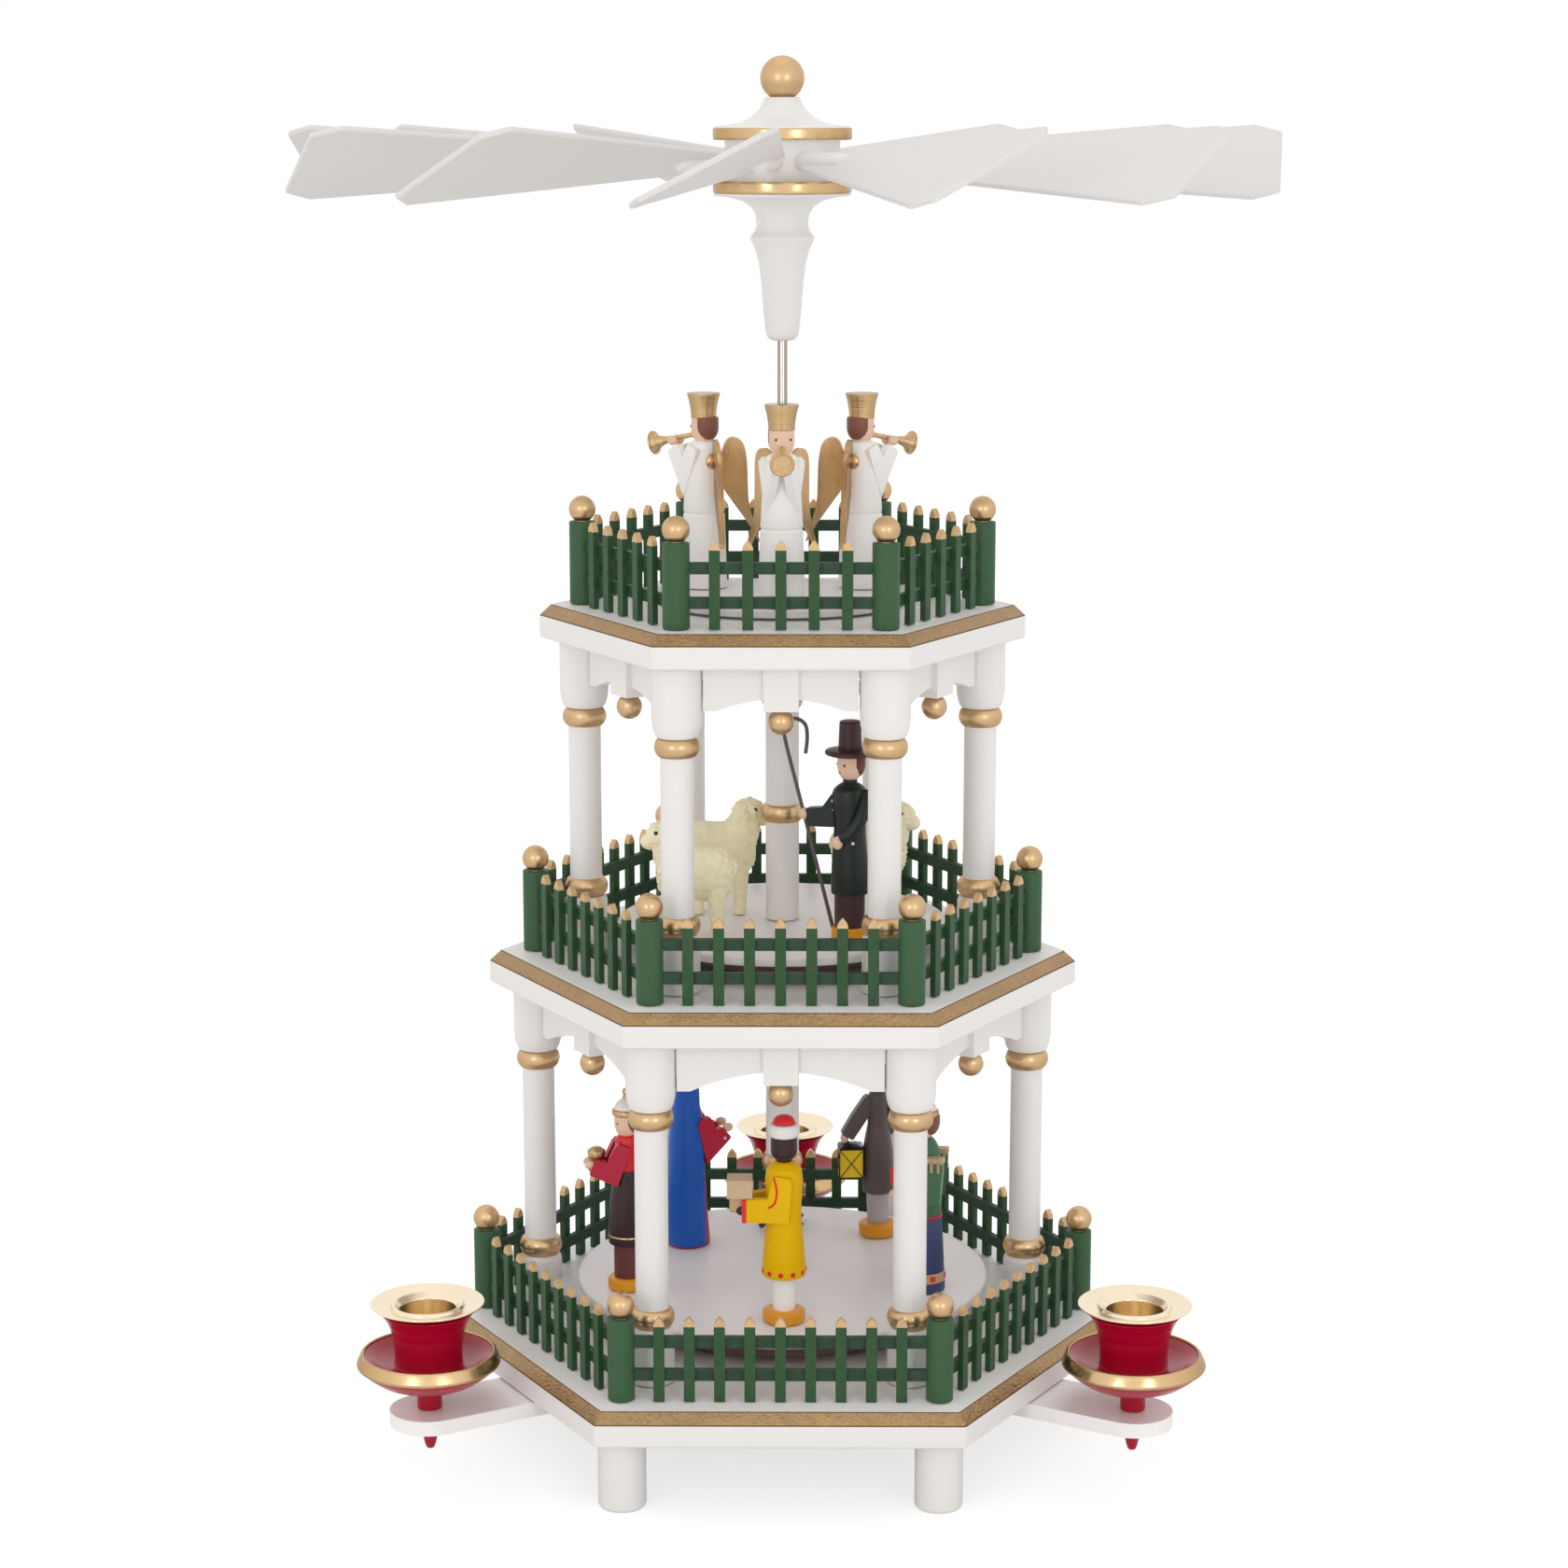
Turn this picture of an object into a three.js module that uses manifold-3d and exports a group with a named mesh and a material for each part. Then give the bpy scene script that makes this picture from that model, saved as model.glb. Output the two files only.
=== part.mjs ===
// Three-storey christmas pyramid for the table, turned by the warm air of three candles.
// Millimetres, +Z up. The origin lies under the spindle, on the surface that the feet stand on.
// One edge of each six-sided plate faces -Y, and pieces that repeat are built there and turned round.
import * as THREE from "three";
import { mergeVertices } from "three/addons/utils/BufferGeometryUtils.js";
import Module from "manifold-3d";

const wasm = await Module();
wasm.setup();

// Clearances
const seatGap = 0.3;
const discLift = 2.2;
const upperDiscLift = 0.8;
const sleeveRunningGap = 2.05;
const socketGap = 0.2;
const lowerDiscClearance = 5.3;
const middleDiscClearance = 3.3;

// Six-sided plates, and the circles on which feet, posts and columns stand
const sides = 6;
const plateThickness = 10.5;
const chamferHeight = 3.5;
const chamferWidth = 3.3;
const lowerCircle = 95.5;
const middleCircle = 78;
const upperCircle = 62;
const lowerOverhang = 14.9;
const middleOverhang = 15.1;
const upperOverhang = 13.85;
const footHeight = 23.2;
const footRadius = 7.3;
const footEdge = 1.6;
const lowerStorey = 108.1;
const upperStorey = 100.2;

// Turned columns and the arch panels between their capitals
const columnRadius = 5.05;
const columnBaseRadius = 6.7;
const columnBaseHeight = 17.6;
const ringRadius = 6.85;
const ringHeight = 6;
const capitalRadius = 7.6;
const capitalHeight = 21.5;
const capitalTaper = 5;
const panelThickness = 4;
const archCrownDrop = 10;
const upperSpringDrop = 13.8;
const lowerSpringDrop = 16;
const springLedge = 4;
const pendantWidth = 10.5;
const pendantThickness = 7.6;
const pendantDrop = 13.7;
const pendantBeadRadius = 3.9;
const beadSink = 0.4;

// Picket fences
const postRadius = 4.1;
const postHeight = 25.6;
const postBallRadius = 4.15;
const slatInset = 11.4;
const lowerSlats = 9;
const middleSlats = 7;
const upperSlats = 5;
const slatWidth = 3.3;
const slatThickness = 1.8;
const slatHeight = 26.4;
const slatTip = 2.8;
const railThickness = 2;
const railHeight = 3.5;
const lowRailRise = 5.9;
const highRailRise = 16.2;
const railSeat = 1.6;

// Candle arms, holders and brass inserts
const armCount = 3;
const holderCircle = 124.5;
const armWidth = 24.5;
const armThickness = 4.6;
const armLap = 38;
const holderDowelRadius = 2.5;
const holderTipLength = 8.5;
const holderTipRadius = 1.7;
const holderNeckRadius = 3.85;
const holderNeckHeight = 3.8;
const saucerRadius = 22;
const saucerHeight = 13;
const saucerRim = 4;
const cupFootRadius = 10.5;
const cupMouthRadius = 14;
const cupHeight = 31.5;
const cupFlare = 5;
const candleBoreRadius = 8.5;
const insertWall = 0.6;
const insertDepth = 13;
const insertFlangeRadius = 17.4;
const insertFlangeLift = 1.4;
const insertRingRadius = 11.4;
const insertRingHeight = 1.1;

// Spindle, turntables and sleeves
const shaftRadius = 1.5;
const shaftPoint = 2.5;
const bearingRadius = 5;
const bearingHeight = 6;
const bearingCone = 2.8;
const bearingFloor = 3;
const discThickness = 2.9;
const lowerCoreThickness = 7.2;
const middleCoreThickness = 5.1;
const coreInset = 13;
const upperDiscRadius = 38;
const upperDiscThickness = 2.4;
const sleeveRadius = 5.25;
const sleeveRingRadius = 6.5;
const sleeveRingHeight = 5.7;
const lowerSleeveRingRise = 36.4;
const upperSleeveRingRise = 34.3;
const sleeveRingPitch = 36.2;

// Rotor hub and vanes
const bareShaft = 81.5;
const hubTailRadius = 6.1;
const hubTailHeight = 24;
const hubCollarRadius = 10.4;
const hubCollarHeight = 7.3;
const hubNeckRadius = 8.4;
const hubNeckHeight = 6;
const hubCupHeight = 7.2;
const hubRingRadius = 20.5;
const hubRingHeight = 3.6;
const drumRadius = 17.5;
const drumHeight = 12.2;
const hubCapHeight = 9.2;
const finialNeckRadius = 5.8;
const finialRadius = 6.7;
const finialSeat = 5.7;
const hubBoreMargin = 6;
const vaneCount = 12;
const vaneTurn = -8;
const vanePitch = 27;
const vaneRootRadius = 26;
const vaneTipRadius = 150;
const vaneRootWidth = 10;
const vaneWidth = 45;
const vaneTipWidth = 36;
const vaneCorner = 8;
const vaneThickness = 1.5;
const socketDepth = 5;
const dowelRadius = 2.8;
const dowelEndRadius = 50;

// Turned figures: sizes shared by all of them
const figureBaseRadius = 6.2;
const figureBaseHeight = 3.3;
const legRadius = 3.9;
const headRadius = 3.9;
const sleeveWidth = 4.8;
const sleeveThickness = 2.4;
const coatHem = 14.8;
const coatRadius = 6.2;
const waistHeight = 33;
const waistRadius = 5.2;
const shoulderHeight = 46.5;
const shoulderRadius = 5.4;
const angelHeight = 63.5;
const angelHemRadius = 6.9;
const angelHatHeight = 7.3;
const angelHatRadius = 5.1;
const angelInset = 9.5;
const angelFaceHeight = 9.7;
const angelCount = 3;
const trumpetLength = 15.5;
const trumpetBell = 3.1;
const wingHeight = 33;
const wingReach = 15;
const wingThickness = 1.2;
const wingSpread = 60;
const wingDrop = 6;
const hatBrimRadius = 7.9;
const hatCrownHeight = 9;
const crookRadius = 0.7;
const crookHook = 4.2;
const crookFoot = 2.5;
const crookTop = 64;
const crookGrip = 15;
const crookGripRise = 38.5;
const crookLean = 0.27;
const elbowRise = 35;
const elbowReach = 2.5;
const giftReach = 12;
const giftRise = 39.8;
const giftHandRise = 35.5;
const giftSide = 5;
const boxGiftHeight = 10.4;
const redGiftHeight = 8;
const greenGiftHeight = 6;
const liftedHandReach = 10;
const liftedHandRise = 44;
const foldedHandReach = 8;
const foldedHandRise = 31;
const lanternReach = 12;
const lanternSide = 7;
const lanternHeight = 10;
const lanternTop = 30;
const lanternGrip = 5;
const sheepLength = 24;
const sheepBodyRadius = 7.2;
const sheepLegHeight = 14;
const sheepLegRadius = 1.8;
const sheepHeadRadius = 4.6;
const mangerWidth = 16;
const mangerLength = 12;
const mangerHeight = 13;
const mangerPost = 1.1;

// How far each figure stands in from the edge of its disc
const boxKingInset = 18;
const redKingInset = 13.8;
const greenKingInset = 17.5;
const womanInset = 25;
const lanternManInset = 18.5;
const mangerInset = 21;
const leftSheepInset = 13;
const backSheepInset = 30.5;
const rightSheepInset = 23.4;
const shepherdInset = 16.4;

// Facets of round pieces
const postFacets = 6;
const columnFacets = 8;
const candleFacets = 10;
const hubFacets = 12;
const dowelFacets = 6;
const discFacets = 20;
const figureFacets = 6;
const archFacets = 4;
const beadFacets = 6;

// Levels that follow from the sizes above
const baseTop = footHeight + plateThickness;
const middleLevel = baseTop + lowerStorey;
const middleTop = middleLevel + plateThickness;
const upperLevel = middleTop + upperStorey;
const upperTop = upperLevel + plateThickness;
const lowerDiscTop = baseTop + discLift + lowerCoreThickness + discThickness;
const middleCoreLevel = middleTop + discLift;
const middleDiscTop = middleCoreLevel + middleCoreThickness + discThickness;
const upperDiscLevel = upperTop + upperDiscLift;
const upperDiscTop = upperDiscLevel + upperDiscThickness;
const hubLevel = upperTop + bareShaft;
const drumLevel = hubTailHeight + hubCollarHeight + hubNeckHeight + hubCupHeight + hubRingHeight;
const vaneLevel = hubLevel + drumLevel + drumHeight / 2;
const shaftTip = baseTop - bearingFloor + seatGap;
const shaftTop = hubLevel + drumLevel - hubBoreMargin;
const boreRadius = shaftRadius + seatGap;
const wellRadius = sleeveRadius + sleeveRunningGap;
const lowerDiscRadius = middleCircle - columnBaseRadius - lowerDiscClearance;
const middleDiscRadius = upperCircle - columnBaseRadius - middleDiscClearance;
const chinHeight = shoulderHeight + headRadius;
const crownHeight = chinHeight + 1.75 * headRadius;
const angelHatBase = angelHeight - angelHatHeight;
const angelShoulder = angelHatBase - angelFaceHeight;

function paint(colour, roughness = 0.45, metalness = 0) {
  return new THREE.MeshStandardMaterial({ color: colour, roughness, metalness, flatShading: true });
}

const whitePaint = paint(0xebe8e4);
const greenPaint = paint(0x34623a, 0.6);
const redPaint = paint(0xb4142c, 0.35);
const brass = paint(0xd8c184, 0.25, 1);
const steel = paint(0xb4b6b8, 0.25, 1);
const bluePaint = paint(0x2355a5, 0.5);
const yellowPaint = paint(0xebb900, 0.4);
const brownPaint = paint(0x3c2828, 0.45);
const greyPaint = paint(0x554e4e, 0.6);
const darkGreenPaint = paint(0x2d322a, 0.45);
const navyPaint = paint(0x37416e, 0.5);
const creamWool = paint(0xe1dcb4, 0.9);
const darkWood = paint(0x4a3226, 0.7);

const toRadians = THREE.MathUtils.degToRad;

// A turned body about Z from [radius, height] pairs, bottom first
function turned(profile, facets) {
  const points = profile.map(([radius, height]) => new THREE.Vector2(radius, height));
  return new THREE.LatheGeometry(points, facets).rotateX(Math.PI / 2);
}

// A turned body with a bore: the profile goes up the outside and comes back down the bore
function turnedRing(profile, facets) {
  return turned([...profile, profile[0]], facets);
}

// A plain round bar about Z between two heights
function upright(radius, bottom, top, facets) {
  return turned([[0, bottom], [radius, bottom], [radius, top], [0, top]], facets);
}

// An upright board seen from -Y: its outline lies in X and Z, and it is centred on its thickness
function board(outline, thickness, curveSegments = 4) {
  const cut = new THREE.ExtrudeGeometry(outline, { depth: thickness, bevelEnabled: false, curveSegments });
  return cut.rotateX(Math.PI / 2).translate(0, thickness / 2, 0);
}

// A board lying flat: its outline lies in X and Y, and its underside is at height 0
function slab(outline, thickness, curveSegments = 4) {
  return new THREE.ExtrudeGeometry(outline, { depth: thickness, bevelEnabled: false, curveSegments });
}

// A round bar or cone between two points
function bar(from, to, startRadius, endRadius = startRadius, facets = 5) {
  const start = new THREE.Vector3(...from);
  const run = new THREE.Vector3(...to).sub(start);
  const length = run.length();
  const turn = new THREE.Quaternion().setFromUnitVectors(new THREE.Vector3(0, 1, 0), run.normalize());
  const cone = new THREE.CylinderGeometry(endRadius, startRadius, length, facets);
  return cone.translate(0, length / 2, 0).applyQuaternion(turn).translate(...from);
}

function ball(radius, centre, across = 8, high = 5) {
  return new THREE.SphereGeometry(radius, across, high).rotateX(Math.PI / 2).translate(...centre);
}

function block(size, centre) {
  return new THREE.BoxGeometry(...size).translate(...centre);
}

function solid(geometry) {
  const bare = geometry.clone();
  bare.deleteAttribute("normal");
  bare.deleteAttribute("uv");
  const merged = mergeVertices(bare, 1e-3);
  const vertProperties = merged.attributes.position.array;
  const triVerts = new Uint32Array(merged.index.array);
  return new wasm.Manifold(new wasm.Mesh({ numProp: 3, vertProperties, triVerts }));
}

function surface(made) {
  const { vertProperties, triVerts } = made.getMesh();
  const geometry = new THREE.BufferGeometry();
  geometry.setAttribute("position", new THREE.BufferAttribute(vertProperties, 3));
  geometry.setIndex(new THREE.BufferAttribute(triVerts, 1));
  geometry.computeVertexNormals();
  return geometry;
}

function joined(...pieces) {
  return surface(pieces.map(solid).reduce((whole, piece) => whole.add(piece)));
}

function carved(piece, ...tools) {
  return surface(tools.map(solid).reduce((whole, tool) => whole.subtract(tool), solid(piece)));
}

// Copies of a piece turned about Z in equal steps
function turnedCopies(geometry, count) {
  return Array.from({ length: count }, (_, k) => geometry.clone().rotateZ((2 * Math.PI * k) / count));
}

function regularPolygon(radius, count) {
  return Array.from({ length: count }, (_, k) => {
    const angle = (2 * Math.PI * k) / count;
    return new THREE.Vector2(radius * Math.cos(angle), radius * Math.sin(angle));
  });
}

// The point on a circle, by its azimuth in degrees from +X
function onCircle(radius, azimuth, height = 0) {
  return [radius * Math.cos(toRadians(azimuth)), radius * Math.sin(toRadians(azimuth)), height];
}

function node(name, geometry, material, position = [0, 0, 0], turn = 0) {
  const mesh = new THREE.Mesh(geometry, material);
  mesh.name = name;
  mesh.position.set(...position);
  mesh.rotation.z = toRadians(turn);
  return mesh;
}

// The azimuth of corner k, the first at the right end of the front edge
function corner(k) {
  return -60 + (360 / sides) * k;
}

// A gold-edged six-sided plate with its underside at height 0
function plateBody(cornerRadius) {
  const cornerChamfer = chamferWidth / Math.cos(Math.PI / sides);
  const profile = [
    [0, 0],
    [cornerRadius, 0],
    [cornerRadius, plateThickness - chamferHeight],
    [cornerRadius - cornerChamfer, plateThickness],
    [0, plateThickness],
  ];
  return turned(profile, sides).rotateZ(Math.PI / sides);
}

function basePlate() {
  const foot = turned(
    [
      [0, 0],
      [footRadius - footEdge, 0],
      [footRadius, footEdge],
      [footRadius, footHeight + seatGap],
      [0, footHeight + seatGap],
    ],
    postFacets,
  );
  const feet = [corner(0), corner(2), corner(3), corner(5)].map((azimuth) =>
    foot.clone().translate(...onCircle(lowerCircle, azimuth)),
  );
  const plate = plateBody(lowerCircle + lowerOverhang).translate(0, 0, footHeight);
  const pocketRadius = bearingRadius + seatGap;
  const pocketFloor = baseTop - bearingHeight - seatGap;
  const pocket = upright(pocketRadius, pocketFloor, baseTop + 1, candleFacets);
  return carved(joined(plate, ...feet), pocket);
}

// The scalloped board under one plate edge, with its pendant block and bead.
// Its ends butt against the capitals.
function archPanel(circle, springDrop) {
  const halfChord = circle * Math.sin(Math.PI / sides);
  const end = halfChord - capitalRadius - seatGap;
  const springing = end - springLedge;
  const outline = new THREE.Shape();
  outline.moveTo(-end, seatGap);
  outline.lineTo(-end, -springDrop);
  outline.lineTo(-springing, -springDrop);
  outline.quadraticCurveTo(0, springDrop - 2 * archCrownDrop, springing, -springDrop);
  outline.lineTo(end, -springDrop);
  outline.lineTo(end, seatGap);
  const pendant = block(
    [pendantWidth, pendantThickness, pendantDrop + seatGap],
    [0, 0, (seatGap - pendantDrop) / 2],
  );
  const bead = ball(pendantBeadRadius, [0, 0, beadSink - pendantDrop - pendantBeadRadius], beadFacets, 3);
  const panel = joined(board(outline, panelThickness, archFacets), pendant, bead);
  return panel.translate(0, -circle * Math.cos(Math.PI / sides), 0);
}

// A plate with the well for the sleeve and its ring of arch panels
function archedPlate(cornerRadius, circle, springDrop) {
  const well = upright(wellRadius, -1, plateThickness + 1, candleFacets);
  const panels = turnedCopies(archPanel(circle, springDrop), sides);
  return joined(carved(plateBody(cornerRadius), well), ...panels);
}

// The rounded gold ring of a column or sleeve, as a profile from its lower edge up
function ringProfile(level, radius, height, coreRadius) {
  return [
    [coreRadius, level],
    [radius, level + height / 2],
    [coreRadius, level + height],
  ];
}

function column(storey) {
  const height = storey - 2 * seatGap;
  const lowRing = ringProfile(columnBaseHeight, ringRadius, ringHeight, columnRadius);
  const highRing = ringProfile(height - capitalHeight - ringHeight, ringRadius, ringHeight, columnRadius);
  const profile = [
    [0, 0],
    [columnBaseRadius, 0],
    [columnBaseRadius, columnBaseHeight],
    ...lowRing.slice(1),
    ...highRing.slice(0, 2),
    [capitalRadius, height - capitalHeight + capitalTaper],
    [capitalRadius, height],
    [0, height],
  ];
  return turned(profile, columnFacets);
}

// One side of a picket fence along X: slats in front of two rails that end in the posts
function fencePanel(length, slatCount) {
  const half = slatWidth / 2;
  const outline = new THREE.Shape([
    new THREE.Vector2(-half, 0),
    new THREE.Vector2(half, 0),
    new THREE.Vector2(half, slatHeight - slatTip),
    new THREE.Vector2(0, slatHeight),
    new THREE.Vector2(-half, slatHeight - slatTip),
  ]);
  const pitch = (length - 2 * slatInset) / (slatCount - 1);
  const slatPlace = -(railThickness + slatThickness) / 2;
  const slats = Array.from({ length: slatCount }, (_, k) =>
    board(outline, slatThickness).translate((k - (slatCount - 1) / 2) * pitch, slatPlace, 0),
  );
  const railLength = length - 2 * (postRadius - railSeat);
  const rails = [lowRailRise, highRailRise].map((rise) =>
    block([railLength, railThickness, railHeight], [0, 0, rise + railHeight / 2]),
  );
  return joined(...slats, ...rails);
}

// A ring of six fence panels between six posts with balls
function fence(circle, slatCount) {
  const post = turned(
    [
      [0, 0],
      [postRadius, 0],
      [postRadius, postHeight],
      [postBallRadius * 0.6, postHeight],
      [postBallRadius, postHeight + postBallRadius * 0.8],
      [postBallRadius * 0.6, postHeight + postBallRadius * 1.6],
      [0, postHeight + postBallRadius * 1.9],
    ],
    postFacets,
  );
  const panel = fencePanel(circle, slatCount).translate(0, -circle * Math.cos(Math.PI / sides), 0);
  const posts = turnedCopies(post.translate(...onCircle(circle, corner(0))), sides);
  return joined(...turnedCopies(panel, sides), ...posts);
}

// A flat arm that runs out from under the base plate, with a round end and a hole for the holder
function candleArm() {
  const half = armWidth / 2;
  const start = (lowerCircle + lowerOverhang) * Math.cos(Math.PI / sides) - armLap;
  const outline = new THREE.Shape();
  outline.moveTo(-half, -start);
  outline.lineTo(-half, -holderCircle);
  outline.absarc(0, -holderCircle, half, Math.PI, 2 * Math.PI, false);
  outline.lineTo(half, -start);
  const hole = new THREE.Path();
  hole.absarc(0, -holderCircle, holderDowelRadius + socketGap, 0, 2 * Math.PI, true);
  outline.holes.push(hole);
  return slab(outline, armThickness, 4);
}

// The red turned holder: blunt dowel, neck, saucer and cup, bored for the brass insert.
// Its height 0 is the shoulder that rests on the arm.
function candleHolder() {
  const dowelBottom = -armThickness - seatGap;
  const saucerBottom = holderNeckHeight;
  const rimLevel = saucerBottom + saucerHeight;
  const boreFloor = cupHeight - insertDepth - seatGap;
  const insertRadius = candleBoreRadius + insertWall + socketGap;
  const profile = [
    [0, dowelBottom - holderTipLength],
    [holderTipRadius, dowelBottom - holderTipLength * 0.8],
    [holderDowelRadius, dowelBottom - holderTipLength * 0.4],
    [holderDowelRadius, 0],
    [holderNeckRadius, 0],
    [holderNeckRadius, saucerBottom],
    [saucerRadius, rimLevel - saucerRim],
    [saucerRadius, rimLevel],
    [cupFootRadius, rimLevel - saucerRim],
    [cupFootRadius + 1, cupHeight - cupFlare],
    [cupMouthRadius, cupHeight],
    [insertRadius, cupHeight],
    [insertRadius, boreFloor],
    [0, boreFloor],
  ];
  return turned(profile, candleFacets);
}

// The brass insert: a thin cup with a wide dished flange and a raised inner ring.
// Its height 0 is the underside of its flange.
function brassInsert() {
  const flangeTop = insertWall;
  const profile = [
    [0, -insertDepth],
    [candleBoreRadius + insertWall, -insertDepth],
    [candleBoreRadius + insertWall, 0],
    [insertFlangeRadius, insertFlangeLift],
    [insertFlangeRadius, insertFlangeLift + flangeTop],
    [insertRingRadius, flangeTop],
    [insertRingRadius - insertWall, flangeTop + insertRingHeight],
    [candleBoreRadius, flangeTop],
    [candleBoreRadius, insertWall - insertDepth],
    [0, insertWall - insertDepth],
  ];
  return turned(profile, candleFacets);
}

// The cup in the base plate in which the point of the spindle turns
function spindleBearing() {
  const profile = [
    [0, 0],
    [bearingRadius, 0],
    [bearingRadius, bearingHeight],
    [bearingCone, bearingHeight],
    [0, bearingHeight - bearingFloor],
  ];
  return turned(profile, candleFacets);
}

function steelShaft() {
  const length = shaftTop - shaftTip;
  return turned([[0, 0], [shaftRadius, shaftPoint], [shaftRadius, length], [0, length]], postFacets);
}

// The outline of a round disc, bored for the shaft
function discOutline(radius) {
  const bore = new THREE.Path(regularPolygon(boreRadius, sides));
  const outline = new THREE.Shape(regularPolygon(radius, discFacets));
  outline.holes.push(bore);
  return outline;
}

// A thin turntable disc on a smaller core
function turntable(radius, coreThickness) {
  const core = slab(discOutline(radius - coreInset), coreThickness);
  return joined(core, slab(discOutline(radius), discThickness).translate(0, 0, coreThickness));
}

function upperTurntable() {
  return slab(discOutline(upperDiscRadius), upperDiscThickness);
}

// A white sleeve on the shaft from one disc to the next, with two gold rings
function sleeve(length, ringRise) {
  const half = sleeveRingHeight / 2;
  const rings = [ringRise, ringRise + sleeveRingPitch].flatMap((rise) =>
    ringProfile(rise - half, sleeveRingRadius, sleeveRingHeight, sleeveRadius),
  );
  const profile = [
    [boreRadius, 0],
    [sleeveRadius, 0],
    ...rings,
    [sleeveRadius, length],
    [boreRadius, length],
  ];
  return turnedRing(profile, columnFacets);
}

// The turned hub: tapered tail, collar, drum between two gold rings, cap and finial ball
function rotorHub() {
  const collar = hubTailHeight;
  const neck = collar + hubCollarHeight;
  const cup = neck + hubNeckHeight;
  const lowRing = cup + hubCupHeight;
  const highRing = drumLevel + drumHeight;
  const cap = highRing + hubRingHeight;
  const finial = cap + hubCapHeight;
  const finialCentre = finial + finialSeat;
  const boreTop = drumLevel - hubBoreMargin + seatGap;
  const profile = [
    [boreRadius, 0],
    [hubTailRadius - 2, 0],
    [hubTailRadius, 9],
    [hubTailRadius + 1.6, collar],
    [hubCollarRadius, neck],
    [hubNeckRadius, cup],
    [hubNeckRadius + 1.4, cup + 2.5],
    [hubRingRadius, lowRing],
    [hubRingRadius, drumLevel],
    [drumRadius, drumLevel],
    [drumRadius, highRing],
    [hubRingRadius, highRing],
    [hubRingRadius, cap],
    [finialNeckRadius * 2, cap + 2.2],
    [finialNeckRadius, finial],
    [finialRadius, finialCentre],
    [finialRadius * 0.7, finialCentre + finialRadius * 0.7],
    [0, finialCentre + finialRadius],
    [0, boreTop],
    [boreRadius, boreTop],
  ];
  const facetTurn = toRadians(vaneTurn) - Math.PI / 2 + Math.PI / hubFacets;
  const hub = turnedRing(profile, hubFacets).rotateZ(facetTurn);
  const socketRadius = (dowelRadius + socketGap) / Math.cos(Math.PI / dowelFacets);
  const socketFloor = [drumRadius - socketDepth, 0, 0];
  const socket = bar(socketFloor, [drumRadius + 1, 0, 0], socketRadius, socketRadius, dowelFacets);
  const sockets = Array.from({ length: vaneCount }, (_, k) =>
    socket.clone().rotateZ(toRadians(vaneAzimuth(k))).translate(0, 0, vaneLevel - hubLevel),
  );
  return carved(hub, ...sockets);
}

function vaneAzimuth(k) {
  return vaneTurn + (360 / vaneCount) * k;
}

// A thin vane along +X, wider towards its clipped tip, glued into the slot of its dowel
function vane() {
  const shoulder = vaneTipRadius - vaneCorner;
  const outline = new THREE.Shape([
    new THREE.Vector2(vaneRootRadius, -vaneRootWidth / 2),
    new THREE.Vector2(shoulder, -vaneWidth / 2),
    new THREE.Vector2(vaneTipRadius, -vaneTipWidth / 2),
    new THREE.Vector2(vaneTipRadius, vaneTipWidth / 2),
    new THREE.Vector2(shoulder, vaneWidth / 2),
    new THREE.Vector2(vaneRootRadius, vaneRootWidth / 2),
  ]);
  const plate = slab(outline, vaneThickness).translate(0, 0, -vaneThickness / 2);
  const dowelStart = [drumRadius - socketDepth + seatGap, 0, 0];
  const dowel = bar(dowelStart, [dowelEndRadius, 0, 0], dowelRadius, dowelRadius * 0.8, dowelFacets);
  return joined(plate, dowel);
}

// The part that all standing people share, from the round base up to the head.
// A long dress has its hem at height 0, and then neither base nor legs show.
function personProfile(hem, hemRadius) {
  const base = [
    [0, 0],
    [figureBaseRadius, 0],
    [figureBaseRadius, figureBaseHeight],
    [legRadius, figureBaseHeight],
    [legRadius, hem],
  ];
  const dress = [
    [hemRadius, hem],
    [waistRadius, waistHeight],
    [shoulderRadius, shoulderHeight - headRadius * 0.8],
    [shoulderRadius * 0.55, shoulderHeight],
    [headRadius, chinHeight],
  ];
  return [...(hem > 0 ? base : [[0, 0]]), ...dress];
}

function person(hem, hemRadius, hat) {
  return turned([...personProfile(hem, hemRadius), ...hat], figureFacets);
}

// A flat bent arm on one side of a figure. Elbow and hand are [reach, height] before the shoulder,
// and the arm is turned inwards by the toe angle.
function flatArm(side, elbow, hand, toe, level = shoulderHeight) {
  const half = sleeveWidth / 2;
  const shoulder = new THREE.Vector2(0, level - half);
  const bend = new THREE.Vector2(...elbow);
  const wrist = new THREE.Vector2(...hand);
  const upper = acrossStrip(shoulder, bend, half);
  const fore = acrossStrip(bend, wrist, half);
  const mitre = upper.clone().add(fore).multiplyScalar(half ** 2 / (half ** 2 + upper.dot(fore)));
  const outline = new THREE.Shape([
    shoulder.clone().add(upper),
    bend.clone().add(mitre),
    wrist.clone().add(fore),
    wrist.clone().sub(fore),
    bend.clone().sub(mitre),
    shoulder.clone().sub(upper),
  ]);
  const arm = board(outline, sleeveThickness).rotateZ(-Math.PI / 2 - side * toRadians(toe));
  return arm.translate(side * (shoulderRadius - sleeveThickness / 4), 0, 0);
}

// Half the width of a flat strip, square to its run
function acrossStrip(from, to, half) {
  const run = to.clone().sub(from).normalize();
  return new THREE.Vector2(-run.y, run.x).multiplyScalar(half);
}

function arms(elbow, hand, toe, level) {
  return [-1, 1].map((side) => flatArm(side, elbow, hand, toe, level));
}

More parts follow.
